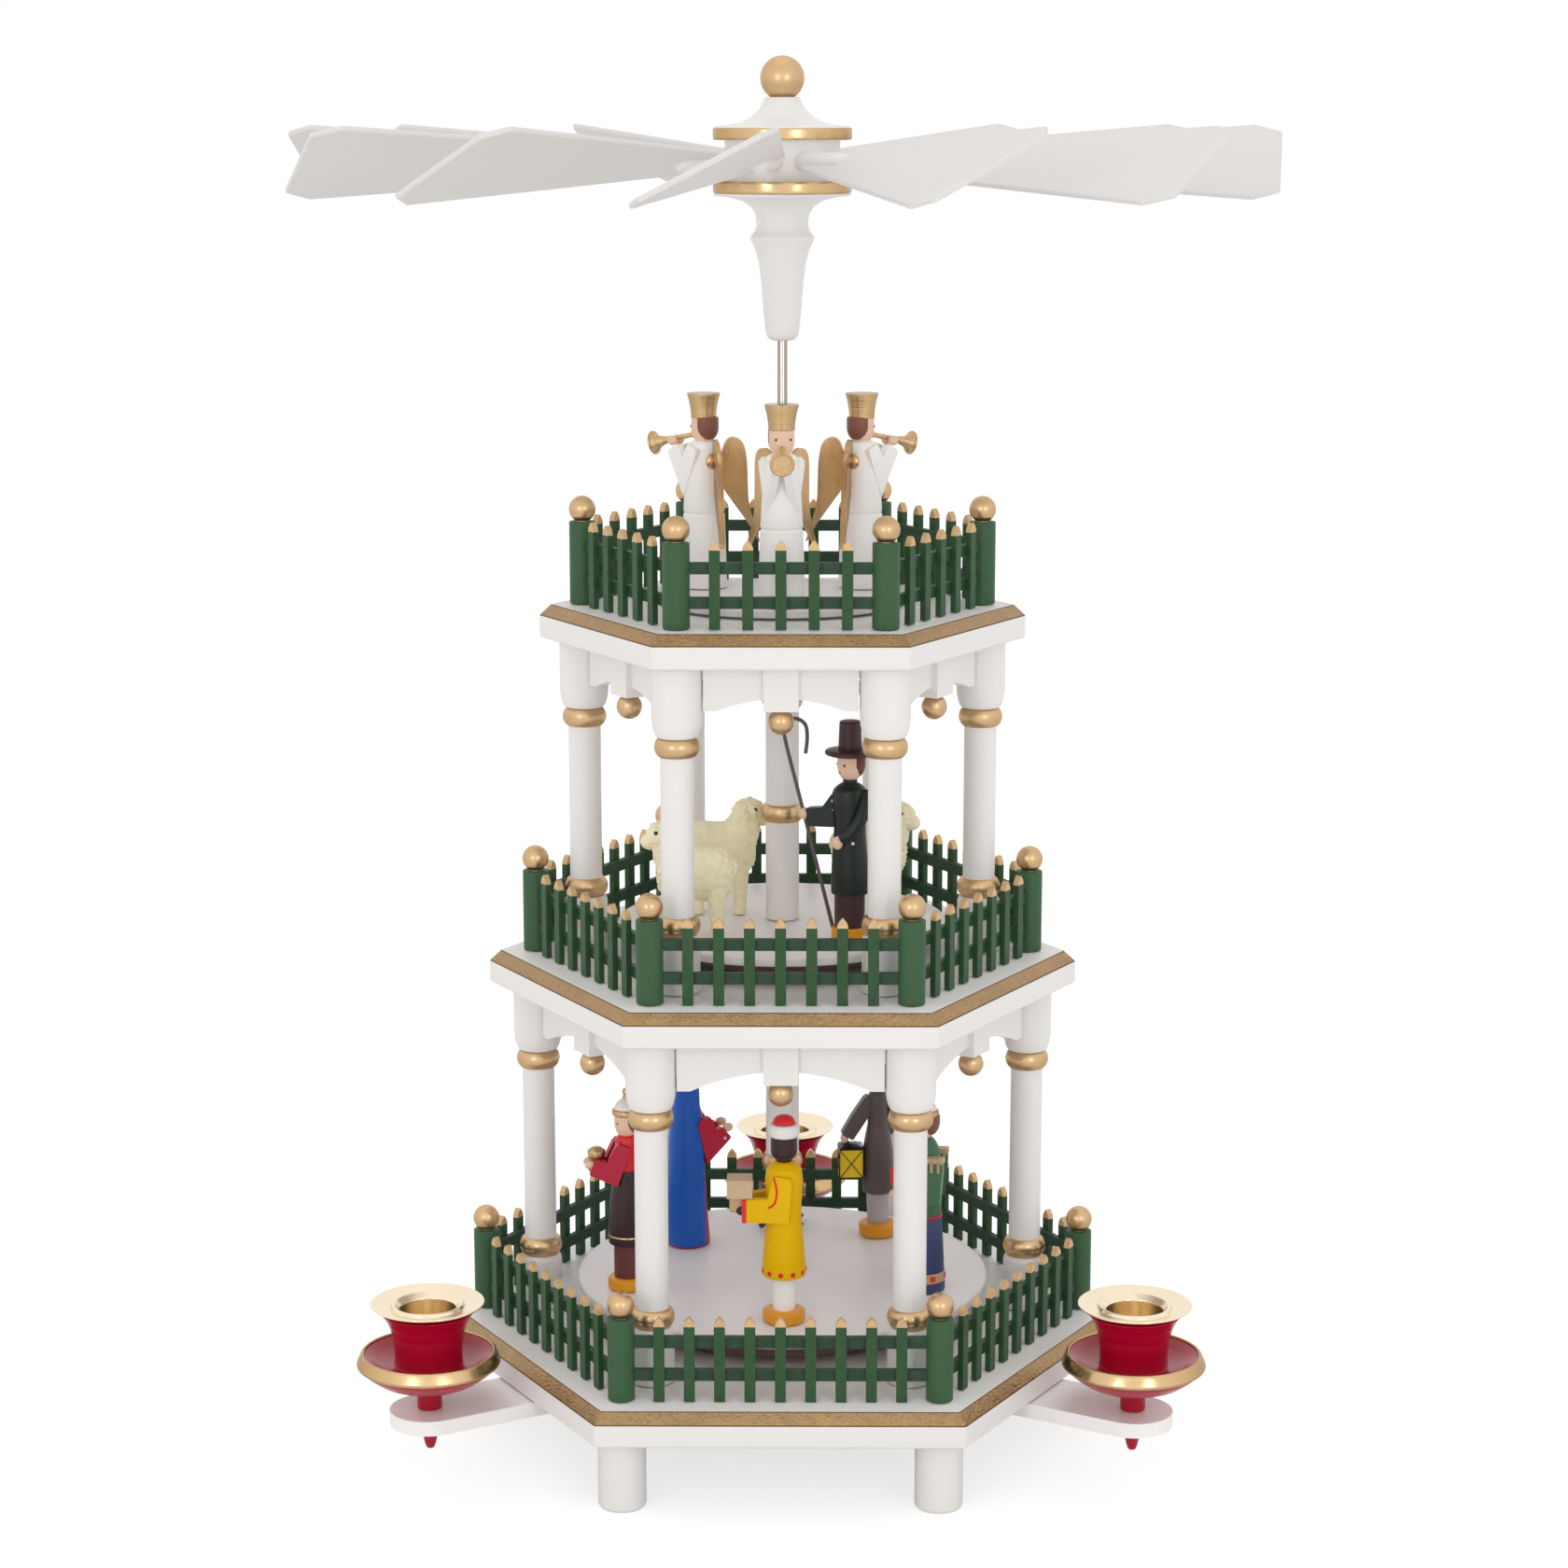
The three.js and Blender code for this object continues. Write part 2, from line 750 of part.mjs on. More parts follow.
const turbanHat = [
  [headRadius * 1.23, crownHeight - headRadius / 2],
  [headRadius * 1.23, crownHeight],
  [headRadius * 0.8, crownHeight + headRadius * 0.7],
  [0, crownHeight + headRadius * 1.13],
];
const knobHat = [
  [headRadius * 1.13, crownHeight],
  [headRadius * 0.6, crownHeight + headRadius],
  [headRadius * 0.4, crownHeight + headRadius * 1.8],
  [0, crownHeight + headRadius * 2.15],
];
const hoodHat = [
  [headRadius * 0.8, crownHeight - headRadius / 4],
  [0, crownHeight + headRadius * 0.3],
];
const brimHat = [
  [headRadius, crownHeight - headRadius / 4],
  [hatBrimRadius, crownHeight - headRadius / 4],
  [hatBrimRadius, crownHeight],
  [headRadius, crownHeight + headRadius * 0.15],
  [headRadius * 0.87, crownHeight + hatCrownHeight],
  [0, crownHeight + hatCrownHeight],
];

function giftKing(hat, side, giftHeight) {
  const gift = block([side, side, giftHeight], [0, -giftReach, giftRise]);
  const bent = arms([elbowReach, elbowRise], [giftReach, giftHandRise], 14);
  return joined(person(coatHem, coatRadius * 1.1, hat), ...bent, gift);
}

function cloakedWoman() {
  const lifted = arms([elbowReach, elbowRise], [liftedHandReach, liftedHandRise], 10);
  return joined(person(0, coatRadius, hoodHat), ...lifted);
}

// The man with the lantern: one bent arm is held out to his side and carries it
function lanternMan() {
  const handRise = lanternTop + lanternGrip;
  const arm = flatArm(0, [elbowReach * 2, elbowRise], [lanternReach, handRise], 0).rotateZ(Math.PI / 2);
  const lanternMiddle = [lanternReach, 0, lanternTop - lanternHeight / 2];
  const lantern = block([lanternSide, lanternSide, lanternHeight], lanternMiddle);
  const ringRadius = lanternSide / 9;
  const roof = turned(
    [
      [0, 0],
      [lanternSide * 0.7, 0],
      [ringRadius, lanternGrip / 2],
      [ringRadius, lanternGrip],
      [0, lanternGrip],
    ],
    4,
  ).translate(lanternReach, 0, lanternTop);
  return joined(person(coatHem, coatRadius, hoodHat), arm, lantern, roof);
}

// The shepherd: tall hat, one arm before his coat, the other held out to grip a long crook
function shepherd() {
  const along = (height) => -crookGrip - crookLean * (height - crookGripRise);
  const hookCentre = along(crookTop) + crookHook;
  const path = new THREE.CatmullRomCurve3([
    new THREE.Vector3(along(crookFoot), 0, crookFoot),
    new THREE.Vector3(-crookGrip, 0, crookGripRise),
    new THREE.Vector3(along(crookTop), 0, crookTop),
    new THREE.Vector3(hookCentre, 0, crookTop + crookHook),
    new THREE.Vector3(hookCentre + crookHook, 0, crookTop - crookHook / 4),
    new THREE.Vector3(hookCentre + crookHook * 0.85, 0, crookTop - crookHook * 1.7),
  ]);
  const section = new THREE.Shape(regularPolygon(crookRadius, 4));
  const crook = new THREE.ExtrudeGeometry(section, { steps: 10, extrudePath: path });
  const grip = [crookGrip + crookRadius, crookGripRise];
  const heldOut = flatArm(0, [crookGrip / 2, elbowRise], grip, 0).rotateZ(-Math.PI / 2);
  const folded = flatArm(1, [elbowReach, elbowRise], [foldedHandReach, foldedHandRise], 40);
  return joined(person(coatHem, coatRadius, brimHat), crook, heldOut, folded);
}

// An angel facing -Y: robe, flared crown, raised arms, trumpet and two leaf-shaped wings
function angel() {
  const robe = turned(
    [
      [0, 0],
      [angelHemRadius, 0],
      [angelHemRadius * 0.88, angelShoulder * 0.6],
      [shoulderRadius, angelShoulder * 0.96],
      [headRadius * 0.6, angelShoulder * 1.02],
      [headRadius, angelHatBase - angelFaceHeight * 0.4],
      [headRadius, angelHatBase],
      [angelHatRadius, angelHeight],
      [0, angelHeight],
    ],
    figureFacets,
  );
  const mouth = [0, -headRadius * 0.75, angelHatBase - angelFaceHeight * 0.57];
  const bellEnd = [0, mouth[1] - trumpetLength, mouth[2] - trumpetLength * 0.2];
  const trumpet = bar(mouth, bellEnd, 0.7, trumpetBell, 6);
  const outline = new THREE.Shape();
  outline.moveTo(0, wingHeight * 0.72);
  outline.lineTo(wingReach * 0.3, wingHeight);
  outline.bezierCurveTo(wingReach * 0.75, wingHeight, wingReach * 0.55, wingHeight * 0.45, wingReach, 0);
  outline.quadraticCurveTo(wingReach * 0.2, wingHeight * 0.25, 0, wingHeight * 0.72);
  const wing = board(outline, wingThickness, 3).translate(0, 0, angelHatBase - wingDrop - wingHeight);
  const wings = [90 - wingSpread, 90 + wingSpread].map((azimuth) =>
    wing.clone().rotateZ(toRadians(azimuth)).translate(0, shoulderRadius * 0.85, 0),
  );
  const elbow = [elbowReach * 1.8, angelShoulder * 0.83];
  const hand = [liftedHandReach, angelHatBase - angelFaceHeight * 0.72];
  return joined(robe, trumpet, ...arms(elbow, hand, 15, angelShoulder), ...wings);
}

// A standing sheep that faces -Y, with its head raised
function sheep() {
  const bodyHeight = sheepLegHeight + sheepBodyRadius;
  const half = sheepLength / 2;
  const legSpread = sheepBodyRadius * 0.42;
  const trunk = ball(1, [0, 0, 0], 6, 4).scale(sheepBodyRadius * 0.85, half * 0.86, sheepBodyRadius);
  const headRise = sheepHeadRadius * 2;
  const neck = bar(
    [0, -half * 0.5, bodyHeight],
    [0, -half * 0.95, bodyHeight + headRise * 0.85],
    sheepHeadRadius,
    sheepHeadRadius * 0.75,
    4,
  );
  const headShape = [0.75, 1.25, 0.8].map((share) => share * sheepHeadRadius);
  const head = ball(1, [0, 0, 0], 4, 4).scale(...headShape);
  const legs = [-1, 1].flatMap((x) =>
    [-1, 1].map((y) =>
      bar(
        [x * legSpread, y * half * 0.5, 0],
        [x * legSpread, y * half * 0.5, bodyHeight * 0.9],
        sheepLegRadius,
        sheepLegRadius * 1.3,
        4,
      ),
    ),
  );
  return joined(
    trunk.translate(0, 0, bodyHeight),
    neck,
    head.translate(0, -half * 1.05, bodyHeight + headRise),
    ...legs,
  );
}

// The manger: an open trough on crossed legs
function manger() {
  const half = mangerWidth / 2;
  const trough = new THREE.Shape([
    new THREE.Vector2(-half * 0.35, mangerHeight * 0.5),
    new THREE.Vector2(half * 0.35, mangerHeight * 0.5),
    new THREE.Vector2(half * 0.85, mangerHeight),
    new THREE.Vector2(-half * 0.85, mangerHeight),
  ]);
  const legs = [-1, 1].flatMap((end) =>
    [-1, 1].map((lean) => {
      const y = (end * mangerLength) / 2.6 + lean * mangerPost * 0.3;
      const foot = [-lean * half, y, mangerPost];
      return bar(foot, [lean * half * 0.7, y, mangerHeight * 0.9], mangerPost, mangerPost, 4);
    }),
  );
  return joined(board(trough, mangerLength), ...legs);
}

// The six-sided tower that stands still
function tower() {
  const still = new THREE.Group();
  const middlePlate = archedPlate(middleCircle + middleOverhang, middleCircle, lowerSpringDrop);
  const topPlate = archedPlate(upperCircle + upperOverhang, upperCircle, upperSpringDrop);
  still.add(
    node("base_plate", basePlate(), whitePaint),
    node("middle_plate", middlePlate, whitePaint, [0, 0, middleLevel]),
    node("top_plate", topPlate, whitePaint, [0, 0, upperLevel]),
    node("lower_fence", fence(lowerCircle, lowerSlats), greenPaint, [0, 0, baseTop + seatGap]),
    node("middle_fence", fence(middleCircle, middleSlats), greenPaint, [0, 0, middleTop + seatGap]),
    node("upper_fence", fence(upperCircle, upperSlats), greenPaint, [0, 0, upperTop + seatGap]),
    node("spindle_bearing", spindleBearing(), brass, [0, 0, baseTop - bearingHeight]),
  );
  const lowerColumn = column(lowerStorey);
  const upperColumn = column(upperStorey);
  for (let k = 0; k < sides; k++) {
    const lowerPlace = onCircle(middleCircle, corner(k), baseTop + seatGap);
    const upperPlace = onCircle(upperCircle, corner(k), middleTop + seatGap);
    still.add(node(`lower_column_${k + 1}`, lowerColumn, whitePaint, lowerPlace));
    still.add(node(`upper_column_${k + 1}`, upperColumn, whitePaint, upperPlace));
  }
  const armLevel = footHeight - seatGap - armThickness;
  const holderLevel = armLevel + armThickness + seatGap;
  for (let k = 0; k < armCount; k++) {
    const arm = new THREE.Group();
    const insertLevel = holderLevel + cupHeight + seatGap;
    arm.rotation.z = toRadians(60 + (360 / armCount) * k);
    arm.add(
      node(`candle_arm_${k + 1}`, candleArm(), whitePaint, [0, 0, armLevel]),
      node(`candle_holder_${k + 1}`, candleHolder(), redPaint, [0, -holderCircle, holderLevel]),
      node(`brass_insert_${k + 1}`, brassInsert(), brass, [0, -holderCircle, insertLevel]),
    );
    still.add(arm);
  }
  return still;
}

// Stands a figure on a disc, by its circle, its azimuth and where it faces
function placed(name, geometry, material, circle, azimuth, facing, level) {
  return node(name, geometry, material, onCircle(circle, azimuth, level + seatGap), facing + 90);
}

function figures() {
  const group = new THREE.Group();
  const boxKing = giftKing(turbanHat, giftSide * 1.4, boxGiftHeight);
  const redKing = giftKing(knobHat, giftSide, redGiftHeight);
  const greenKing = giftKing(knobHat, giftSide, greenGiftHeight);
  const lower = [
    ["king_with_box", boxKing, yellowPaint, boxKingInset, -89, 180],
    ["king_in_red", redKing, brownPaint, redKingInset, 200, 190],
    ["king_in_green", greenKing, navyPaint, greenKingInset, -22, 170],
    ["woman_in_blue_cloak", cloakedWoman(), bluePaint, womanInset, 140, 20],
    ["man_with_lantern", lanternMan(), greyPaint, lanternManInset, 48.6, 100],
    ["manger", manger(), darkWood, mangerInset, 91, 90],
  ];
  for (const [name, geometry, material, inset, azimuth, facing] of lower) {
    const circle = lowerDiscRadius - inset;
    group.add(placed(name, geometry, material, circle, azimuth, facing, lowerDiscTop));
  }
  const flock = [
    ["sheep_1", leftSheepInset, 226, 180],
    ["sheep_2", backSheepInset, 158, 0],
    ["sheep_3", rightSheepInset, 12, -20],
  ];
  const sheepShape = sheep();
  for (const [name, inset, azimuth, facing] of flock) {
    const circle = middleDiscRadius - inset;
    group.add(placed(name, sheepShape, creamWool, circle, azimuth, facing, middleDiscTop));
  }
  const shepherdCircle = middleDiscRadius - shepherdInset;
  group.add(placed("shepherd", shepherd(), darkGreenPaint, shepherdCircle, -54, -110, middleDiscTop));
  const angelShape = angel();
  const angelCircle = upperDiscRadius - angelInset;
  for (let k = 0; k < angelCount; k++) {
    const azimuth = -90 + (360 / angelCount) * k;
    group.add(placed(`angel_${k + 1}`, angelShape, whitePaint, angelCircle, azimuth, azimuth, upperDiscTop));
  }
  return group;
}

// Everything that turns with the spindle
function rotor() {
  const spinning = new THREE.Group();
  const lowerSleeveLevel = lowerDiscTop + seatGap;
  const upperSleeveLevel = middleDiscTop + seatGap;
  const lowerDisc = turntable(lowerDiscRadius, lowerCoreThickness);
  const middleDisc = turntable(middleDiscRadius, middleCoreThickness);
  const lowerSleeve = sleeve(middleCoreLevel - seatGap - lowerSleeveLevel, lowerSleeveRingRise);
  const upperSleeve = sleeve(upperDiscLevel - seatGap - upperSleeveLevel, upperSleeveRingRise);
  spinning.add(
    node("steel_shaft", steelShaft(), steel, [0, 0, shaftTip]),
    node("lower_turntable", lowerDisc, whitePaint, [0, 0, baseTop + discLift]),
    node("middle_turntable", middleDisc, whitePaint, [0, 0, middleCoreLevel]),
    node("upper_turntable", upperTurntable(), whitePaint, [0, 0, upperDiscLevel]),
    node("lower_sleeve", lowerSleeve, whitePaint, [0, 0, lowerSleeveLevel]),
    node("upper_sleeve", upperSleeve, whitePaint, [0, 0, upperSleeveLevel]),
    node("rotor_hub", rotorHub(), whitePaint, [0, 0, hubLevel]),
    figures(),
  );
  const vaneShape = vane();
  for (let k = 0; k < vaneCount; k++) {
    const mount = new THREE.Group();
    mount.rotation.z = toRadians(vaneAzimuth(k));
    const blade = node(`vane_${k + 1}`, vaneShape, whitePaint, [0, 0, vaneLevel]);
    blade.rotation.x = toRadians(vanePitch);
    mount.add(blade);
    spinning.add(mount);
  }
  return spinning;
}

const pyramid = new THREE.Group();
pyramid.name = "christmas_pyramid";
pyramid.add(tower(), rotor());

export default pyramid;
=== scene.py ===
"""A three-storey christmas pyramid: turned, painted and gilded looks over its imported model."""

import math

import bmesh
import bpy
from bpy.props import FloatProperty, FloatVectorProperty, IntProperty, PointerProperty
from mathutils import Matrix, Vector


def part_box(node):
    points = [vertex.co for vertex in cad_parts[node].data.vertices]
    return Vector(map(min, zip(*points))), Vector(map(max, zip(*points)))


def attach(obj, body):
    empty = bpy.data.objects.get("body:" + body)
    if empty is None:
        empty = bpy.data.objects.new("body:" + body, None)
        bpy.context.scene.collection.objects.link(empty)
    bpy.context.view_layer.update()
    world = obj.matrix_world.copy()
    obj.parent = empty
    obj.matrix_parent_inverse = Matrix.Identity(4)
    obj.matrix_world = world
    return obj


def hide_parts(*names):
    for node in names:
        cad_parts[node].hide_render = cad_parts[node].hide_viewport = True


bl_info = {
    "name": "Christmas Pyramid",
    "version": (1, 0, 0),
    "blender": (4, 5, 0),
    "location": "3D View > Sidebar > Pyramid",
    "description": "Turned, painted and gilded pieces of a christmas pyramid",
    "category": "Object",
}

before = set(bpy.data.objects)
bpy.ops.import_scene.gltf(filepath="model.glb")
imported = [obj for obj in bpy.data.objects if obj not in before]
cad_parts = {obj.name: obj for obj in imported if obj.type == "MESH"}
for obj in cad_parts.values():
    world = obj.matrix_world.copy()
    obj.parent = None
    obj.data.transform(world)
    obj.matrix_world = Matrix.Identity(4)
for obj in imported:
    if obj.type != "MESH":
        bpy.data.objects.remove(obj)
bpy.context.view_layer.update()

MM = 0.001
SIDES = 6
TOWER = "tower"
ROTOR = "rotor"
APOTHEM_SHARE = math.cos(math.pi / SIDES)
PLATE_THICKNESS = 10.5
CANDLE_CIRCLE = 124.5
SMOOTH_UNDER = 32
SHARP_OVER = 25

# The photograph's camera, as fitted to the plates and columns
CAMERA_PLACE = (0.007943, -1.05648, 0.41286)
CAMERA_DOWN = 11.083
CAMERA_TURN = 0.4033
CAMERA_LENS = 78.62
CAMERA_SENSOR = 36


def millimetres(node):
    """The lowest and highest corner of a node of the frame, in millimetres."""
    low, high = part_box(node)
    return low / MM, high / MM


def level(node):
    return millimetres(node)[0].z


def top(node):
    return millimetres(node)[1].z


# Sizes and colours that a user would change


def size(name, description, default, low=0.0, high=1000.0):
    return FloatProperty(name=name, description=description, default=default, min=low, max=high)


def colour(name, description, red, green, blue):
    shade = (red / 255, green / 255, blue / 255)
    return FloatVectorProperty(
        name=name, description=description, default=shade, size=3, min=0, max=1, subtype="COLOR_GAMMA"
    )


class TowerSizes(bpy.types.PropertyGroup):
    """Sizes of the standing tower, in millimetres"""

    lower_circle: size("Lower circle", "Circle of the lowest posts and feet", 95.5)
    middle_circle: size("Middle circle", "Circle of the middle posts and lower columns", 78.0)
    upper_circle: size("Upper circle", "Circle of the top posts and upper columns", 62.0)
    edge: size("Plate edge", "Rounding of the sawn plate edges", 0.7)
    chamfer_height: size("Chamfer height", "Height of the gold chamfer on a plate", 3.5)
    chamfer_width: size("Chamfer width", "Width of the gold chamfer on a plate", 3.3)
    shaft_radius: size("Column shaft", "Radius of a column between its rings", 5.05)
    base_radius: size("Column base", "Radius of the block under a column", 6.7)
    capital_radius: size("Capital", "Radius of a column's long capital", 7.6)
    ring_radius: size("Ring", "Outer radius of the gold rings of a column", 6.85)
    ring_height: size("Ring height", "Height of the gold rings of a column", 6.0)
    post_radius: size("Post", "Radius of a fence post", 4.1)
    ball_radius: size("Post ball", "Radius of the gold ball on a post", 4.15)
    slat_width: size("Slat width", "Width of a picket slat", 3.3)
    slat_thickness: size("Slat thickness", "Thickness of a picket slat", 1.8)
    slat_height: size("Slat height", "Height of a picket slat with its tip", 26.4)
    slat_tip: size("Slat tip", "Height of the gold tip of a slat", 2.8)


class RotorSizes(bpy.types.PropertyGroup):
    """Sizes of the turning pieces, in millimetres"""

    vane_count: IntProperty(name="Vanes", description="How many vanes the hub carries", default=12, min=3)
    vane_turn: FloatProperty(
        name="First vane", description="Azimuth of the first vane", default=math.radians(-8), subtype="ANGLE"
    )
    vane_pitch: FloatProperty(
        name="Vane pitch", description="Slant of the vanes", default=math.radians(27), subtype="ANGLE"
    )
    vane_root: size("Vane root", "Distance of the vane's narrow end from the spindle", 26.0)
    vane_tip: size("Vane tip", "Distance of the vane's wide end from the spindle", 150.0)
    vane_root_width: size("Root width", "Width of a vane at its narrow end", 10.0)
    vane_width: size("Vane width", "Greatest width of a vane", 45.0)
    vane_tip_width: size("Tip width", "Width of a vane between its clipped corners", 36.0)
    vane_corner: size("Clipped corner", "Length of a vane's clipped corner", 8.0)
    vane_thickness: size("Vane thickness", "Thickness of a vane", 1.5)
    dowel_radius: size("Dowel", "Radius of the dowel that holds a vane", 2.8)
    dowel_end: size("Dowel end", "Distance of the dowel's rounded end from the spindle", 50.0)
    disc_edge: size("Disc edge", "Rounding of the turntables' rims", 0.9)


class Paints(bpy.types.PropertyGroup):
    """Colours of the paints, woods and metals, as they look on the object"""

    white: colour("White", "Satin white of the plates, columns and vanes", 236, 233, 230)
    # Painted light: the turntable, robe, arm and vane whites are copies of the plain white, retinted, lighter or
    # darker for the light and shade that fall on those pieces.
    disc_white_painted_light: colour("Turntable white", "Cooler white of the turntable discs", 237, 232, 232)
    robe_white_painted_light: colour("Robe white", "White of the angels' robes", 250, 247, 243)
    arm_white_painted_light: colour("Arm white", "White of the candle arms", 250, 247, 245)
    vane_white_painted_shade: colour("Vane white", "White of the vanes", 224, 220, 217)
    gold: colour("Gold", "Gold paint of the rings and balls", 220, 186, 142)
    chamfer: colour("Gilded chamfer", "Brushed gold paint of the plate edges", 172, 141, 100)
    gilt_line: colour("Gilding line", "Dark brown line along both edges of a gilded chamfer", 122, 92, 62)
    band: colour("Polished gold", "Polished gold of the hub's rings and the holders' rims", 228, 196, 148)
    leaf: colour("Pale gold", "Gold paint of wings, crowns and slat tips", 214, 180, 134)
    brass: colour("Brass", "Pressed brass of the candle inserts", 250, 234, 206)
    steel: colour("Steel", "Steel of the spindle", 190, 182, 178)
    post: colour("Post green", "Green of the fence posts", 56, 90, 60)
    slat: colour("Slat green", "Green of the picket slats", 30, 70, 32)
    rail: colour("Rail green", "Green of the fence rails", 26, 60, 34)
    red: colour("Red", "Red of the candle holders", 170, 4, 40)
    core: colour("Core", "Stained brown wood of the turntable cores", 122, 92, 92)
    orange: colour("Orange", "Orange bases of the figures", 226, 150, 28)
    yellow: colour("Yellow", "Yellow dress", 232, 182, 0)
    scarlet: colour("Scarlet", "Scarlet cap, cuffs, seams and gifts", 218, 40, 42)
    crimson: colour("Crimson", "Crimson dress and sleeves", 182, 26, 58)
    blue: colour("Blue", "Blue cloak", 26, 94, 196)
    navy: colour("Navy", "Navy skirt", 56, 66, 106)
    king_green: colour("Jacket green", "Green jacket", 66, 106, 76)
    dark_brown: colour("Dark brown", "Dark brown coat and face", 54, 34, 36)
    red_brown: colour("Red brown", "Red brown legs and trousers", 104, 56, 54)
    grey: colour("Dark grey", "Dark grey coat", 92, 82, 82)
    pale_grey: colour("Pale grey", "Pale grey legs", 178, 172, 172)
    coat: colour("Coat green", "Blackish green coat", 30, 38, 34)
    trousers: colour("Trousers", "Dark red brown trousers and hat", 66, 42, 44)
    black: colour("Black", "Black dots, bars and roofs", 34, 30, 32)
    skin: colour("Skin", "Pale skin tone of the turned heads and hands", 236, 198, 172)
    hair: colour("Hair", "Brown painted hair", 128, 80, 64)
    tan: colour("Tan", "Tan bands and patches", 190, 158, 116)
    lantern: colour("Lantern", "Yellow panes of the lantern", 232, 192, 26)
    box_wood: colour("Gift wood", "Pale wood of the carried box", 206, 178, 146)
    wool: colour("Wool", "Cream body of the sheep", 248, 238, 200)
    straw: colour("Manger wood", "Dark stained wood of the manger", 92, 66, 46)


class StageSettings(bpy.types.PropertyGroup):
    """The floor, the lamps and the white background"""

    key_power: FloatProperty(
        name="Key lamp", description="Power of each soft box", default=1.15, min=0, unit="POWER"
    )
    top_power: FloatProperty(
        name="Top lamp", description="Power of the lamp overhead", default=1.4, min=0, unit="POWER"
    )
    sky: FloatProperty(
        name="Sky", description="Strength of the even light from all round", default=0.93, min=0
    )
    floor: colour("Floor", "Plain pale floor", 242, 242, 242)
    floor_glow: FloatProperty(
        name="Floor glow", description="How far the floor is lifted towards white", default=0.45
    )


# Shapes, in millimetres


class Form:
    """Closed shapes in the making, in millimetres, with a finish for each face."""

    def __init__(self, place=None):
        self.place = place or Matrix()
        self.points = []
        self.faces = []
        self.finish_of = []
        self.finishes = []

    def add(self, shape, finish, place=None):
        points, faces = shape
        matrix = self.place @ (place or Matrix())
        start = len(self.points)
        self.points += [matrix @ Vector(point) for point in points]
        self.faces += [[start + index for index in face] for face in faces]
        if finish not in self.finishes:
            self.finishes.append(finish)
        self.finish_of += [self.finishes.index(finish)] * len(faces)
        return self


def moved(x=0.0, y=0.0, z=0.0):
    return Matrix.Translation((x, y, z))


def turned_by(degrees, axis="Z"):
    return Matrix.Rotation(math.radians(degrees), 4, axis)


def on_circle(radius, azimuth, height=0.0):
    """A place on a circle about the spindle, by its azimuth in degrees, and turned to face outwards."""
    return turned_by(azimuth + 90) @ moved(0, -radius, height)


def corner(index):
    return -60 + 60 * index


def loft(sections, closed=False):
    """A skin over sections of equal count; a section of one point is a pole."""
    points = [tuple(point) for section in sections for point in section]
    starts = [0]
    for section in sections:
        starts.append(starts[-1] + len(section))
    faces = []
    pairs = list(range(len(sections) - 1)) + ([len(sections) - 1] if closed else [])
    for at in pairs:
        after = (at + 1) % len(sections)
        count, other = len(sections[at]), len(sections[after])
        low, high = starts[at], starts[after]
        for step in range(max(count, other)):
            ahead = (step + 1) % max(count, other)
            if count == 1:
                faces.append([low, high + ahead, high + step])
            elif other == 1:
                faces.append([low + step, low + ahead, high])
            else:
                faces.append([low + step, low + ahead, high + ahead, high + step])
    if not closed and len(sections[0]) > 1:
        faces.append([starts[0] + step for step in reversed(range(len(sections[0])))])
    if not closed and len(sections[-1]) > 1:
        faces.append([starts[-2] + step for step in range(len(sections[-1]))])
    return points, faces


def ring(radius, height, count):
    if radius < 1e-6:
        return [(0, 0, height)]
    turn = 2 * math.pi / count
    return [(radius * math.cos(turn * k), radius * math.sin(turn * k), height) for k in range(count)]


def eased(profile, reach, steps=3, closed=False):
    """The same line with its corners rounded off over a short reach."""
    count = len(profile)
    line = []
    for at, point in enumerate(profile):
        ends = not closed and at in (0, count - 1)
        here = Vector(point)
        before, after = Vector(profile[at - 1]) - here, Vector(profile[(at + 1) % count]) - here
        if ends or before.length < 1e-6 or after.length < 1e-6 or abs(
            before.angle(after)
        ) > math.radians(172):
            line.append(tuple(here))
            continue
        short = min(reach, before.length * 0.45, after.length * 0.45)
        start, end = here + before.normalized() * short, here + after.normalized() * short
        for step in range(steps + 1):
            share = step / steps
            mixed = start.lerp(here, share).lerp(here.lerp(end, share), share)
            line.append(tuple(mixed))
    return line


def lathe(profile, count=48, reach=0.3, steps=3, closed=False):
    """A turned shape from (radius, height) pairs; a closed profile makes a ring."""
    line = eased(profile, reach, steps, closed) if reach else profile
    return loft([ring(max(radius, 0), height, count) for radius, height in line], closed)


def torus_ring(radius, core, height, base, count=48):
    """A turned ring with a rounded outside, round a core."""
    bulge = [
        (core + (radius - core) * math.sin(math.pi * share) ** 0.55, base + height * share)
        for share in (0.02, 0.06, 0.13, 0.22, 0.34, 0.5, 0.66, 0.78, 0.87, 0.94, 0.98)
    ]
    inner = core - 0.4
    return lathe([(inner, base), *bulge, (inner, base + height)], count, reach=0, closed=True)


def ball(radius, centre=(0, 0, 0), count=24, high=12, squash=(1, 1, 1)):
    line = [
        (math.sin(math.pi * k / high) * radius, -math.cos(math.pi * k / high) * radius)
        for k in range(high + 1)
    ]
    points, faces = loft([ring(max(r, 0) if 0 < k < high else 0, z, count) for k, (r, z) in enumerate(line)])
    placed = [tuple(c + p * s for c, p, s in zip(centre, point, squash)) for point in points]
    return placed, faces


def plain(made):
    """A bmesh as points and faces, and the bmesh freed."""
    made.verts.index_update()
    shape = [tuple(v.co) for v in made.verts], [[v.index for v in face.verts] for face in made.faces]
    made.free()
    return shape


def softened(made, width, segments):
    """Rounds the sharp edges of a bmesh."""
    sharp = [e for e in made.edges if e.is_manifold and e.calc_face_angle(0) > math.radians(SHARP_OVER)]
    bmesh.ops.bevel(
        made, geom=sharp, offset=width, segments=segments, affect="EDGES", clamp_overlap=True, profile=0.5
    )
    return plain(made)


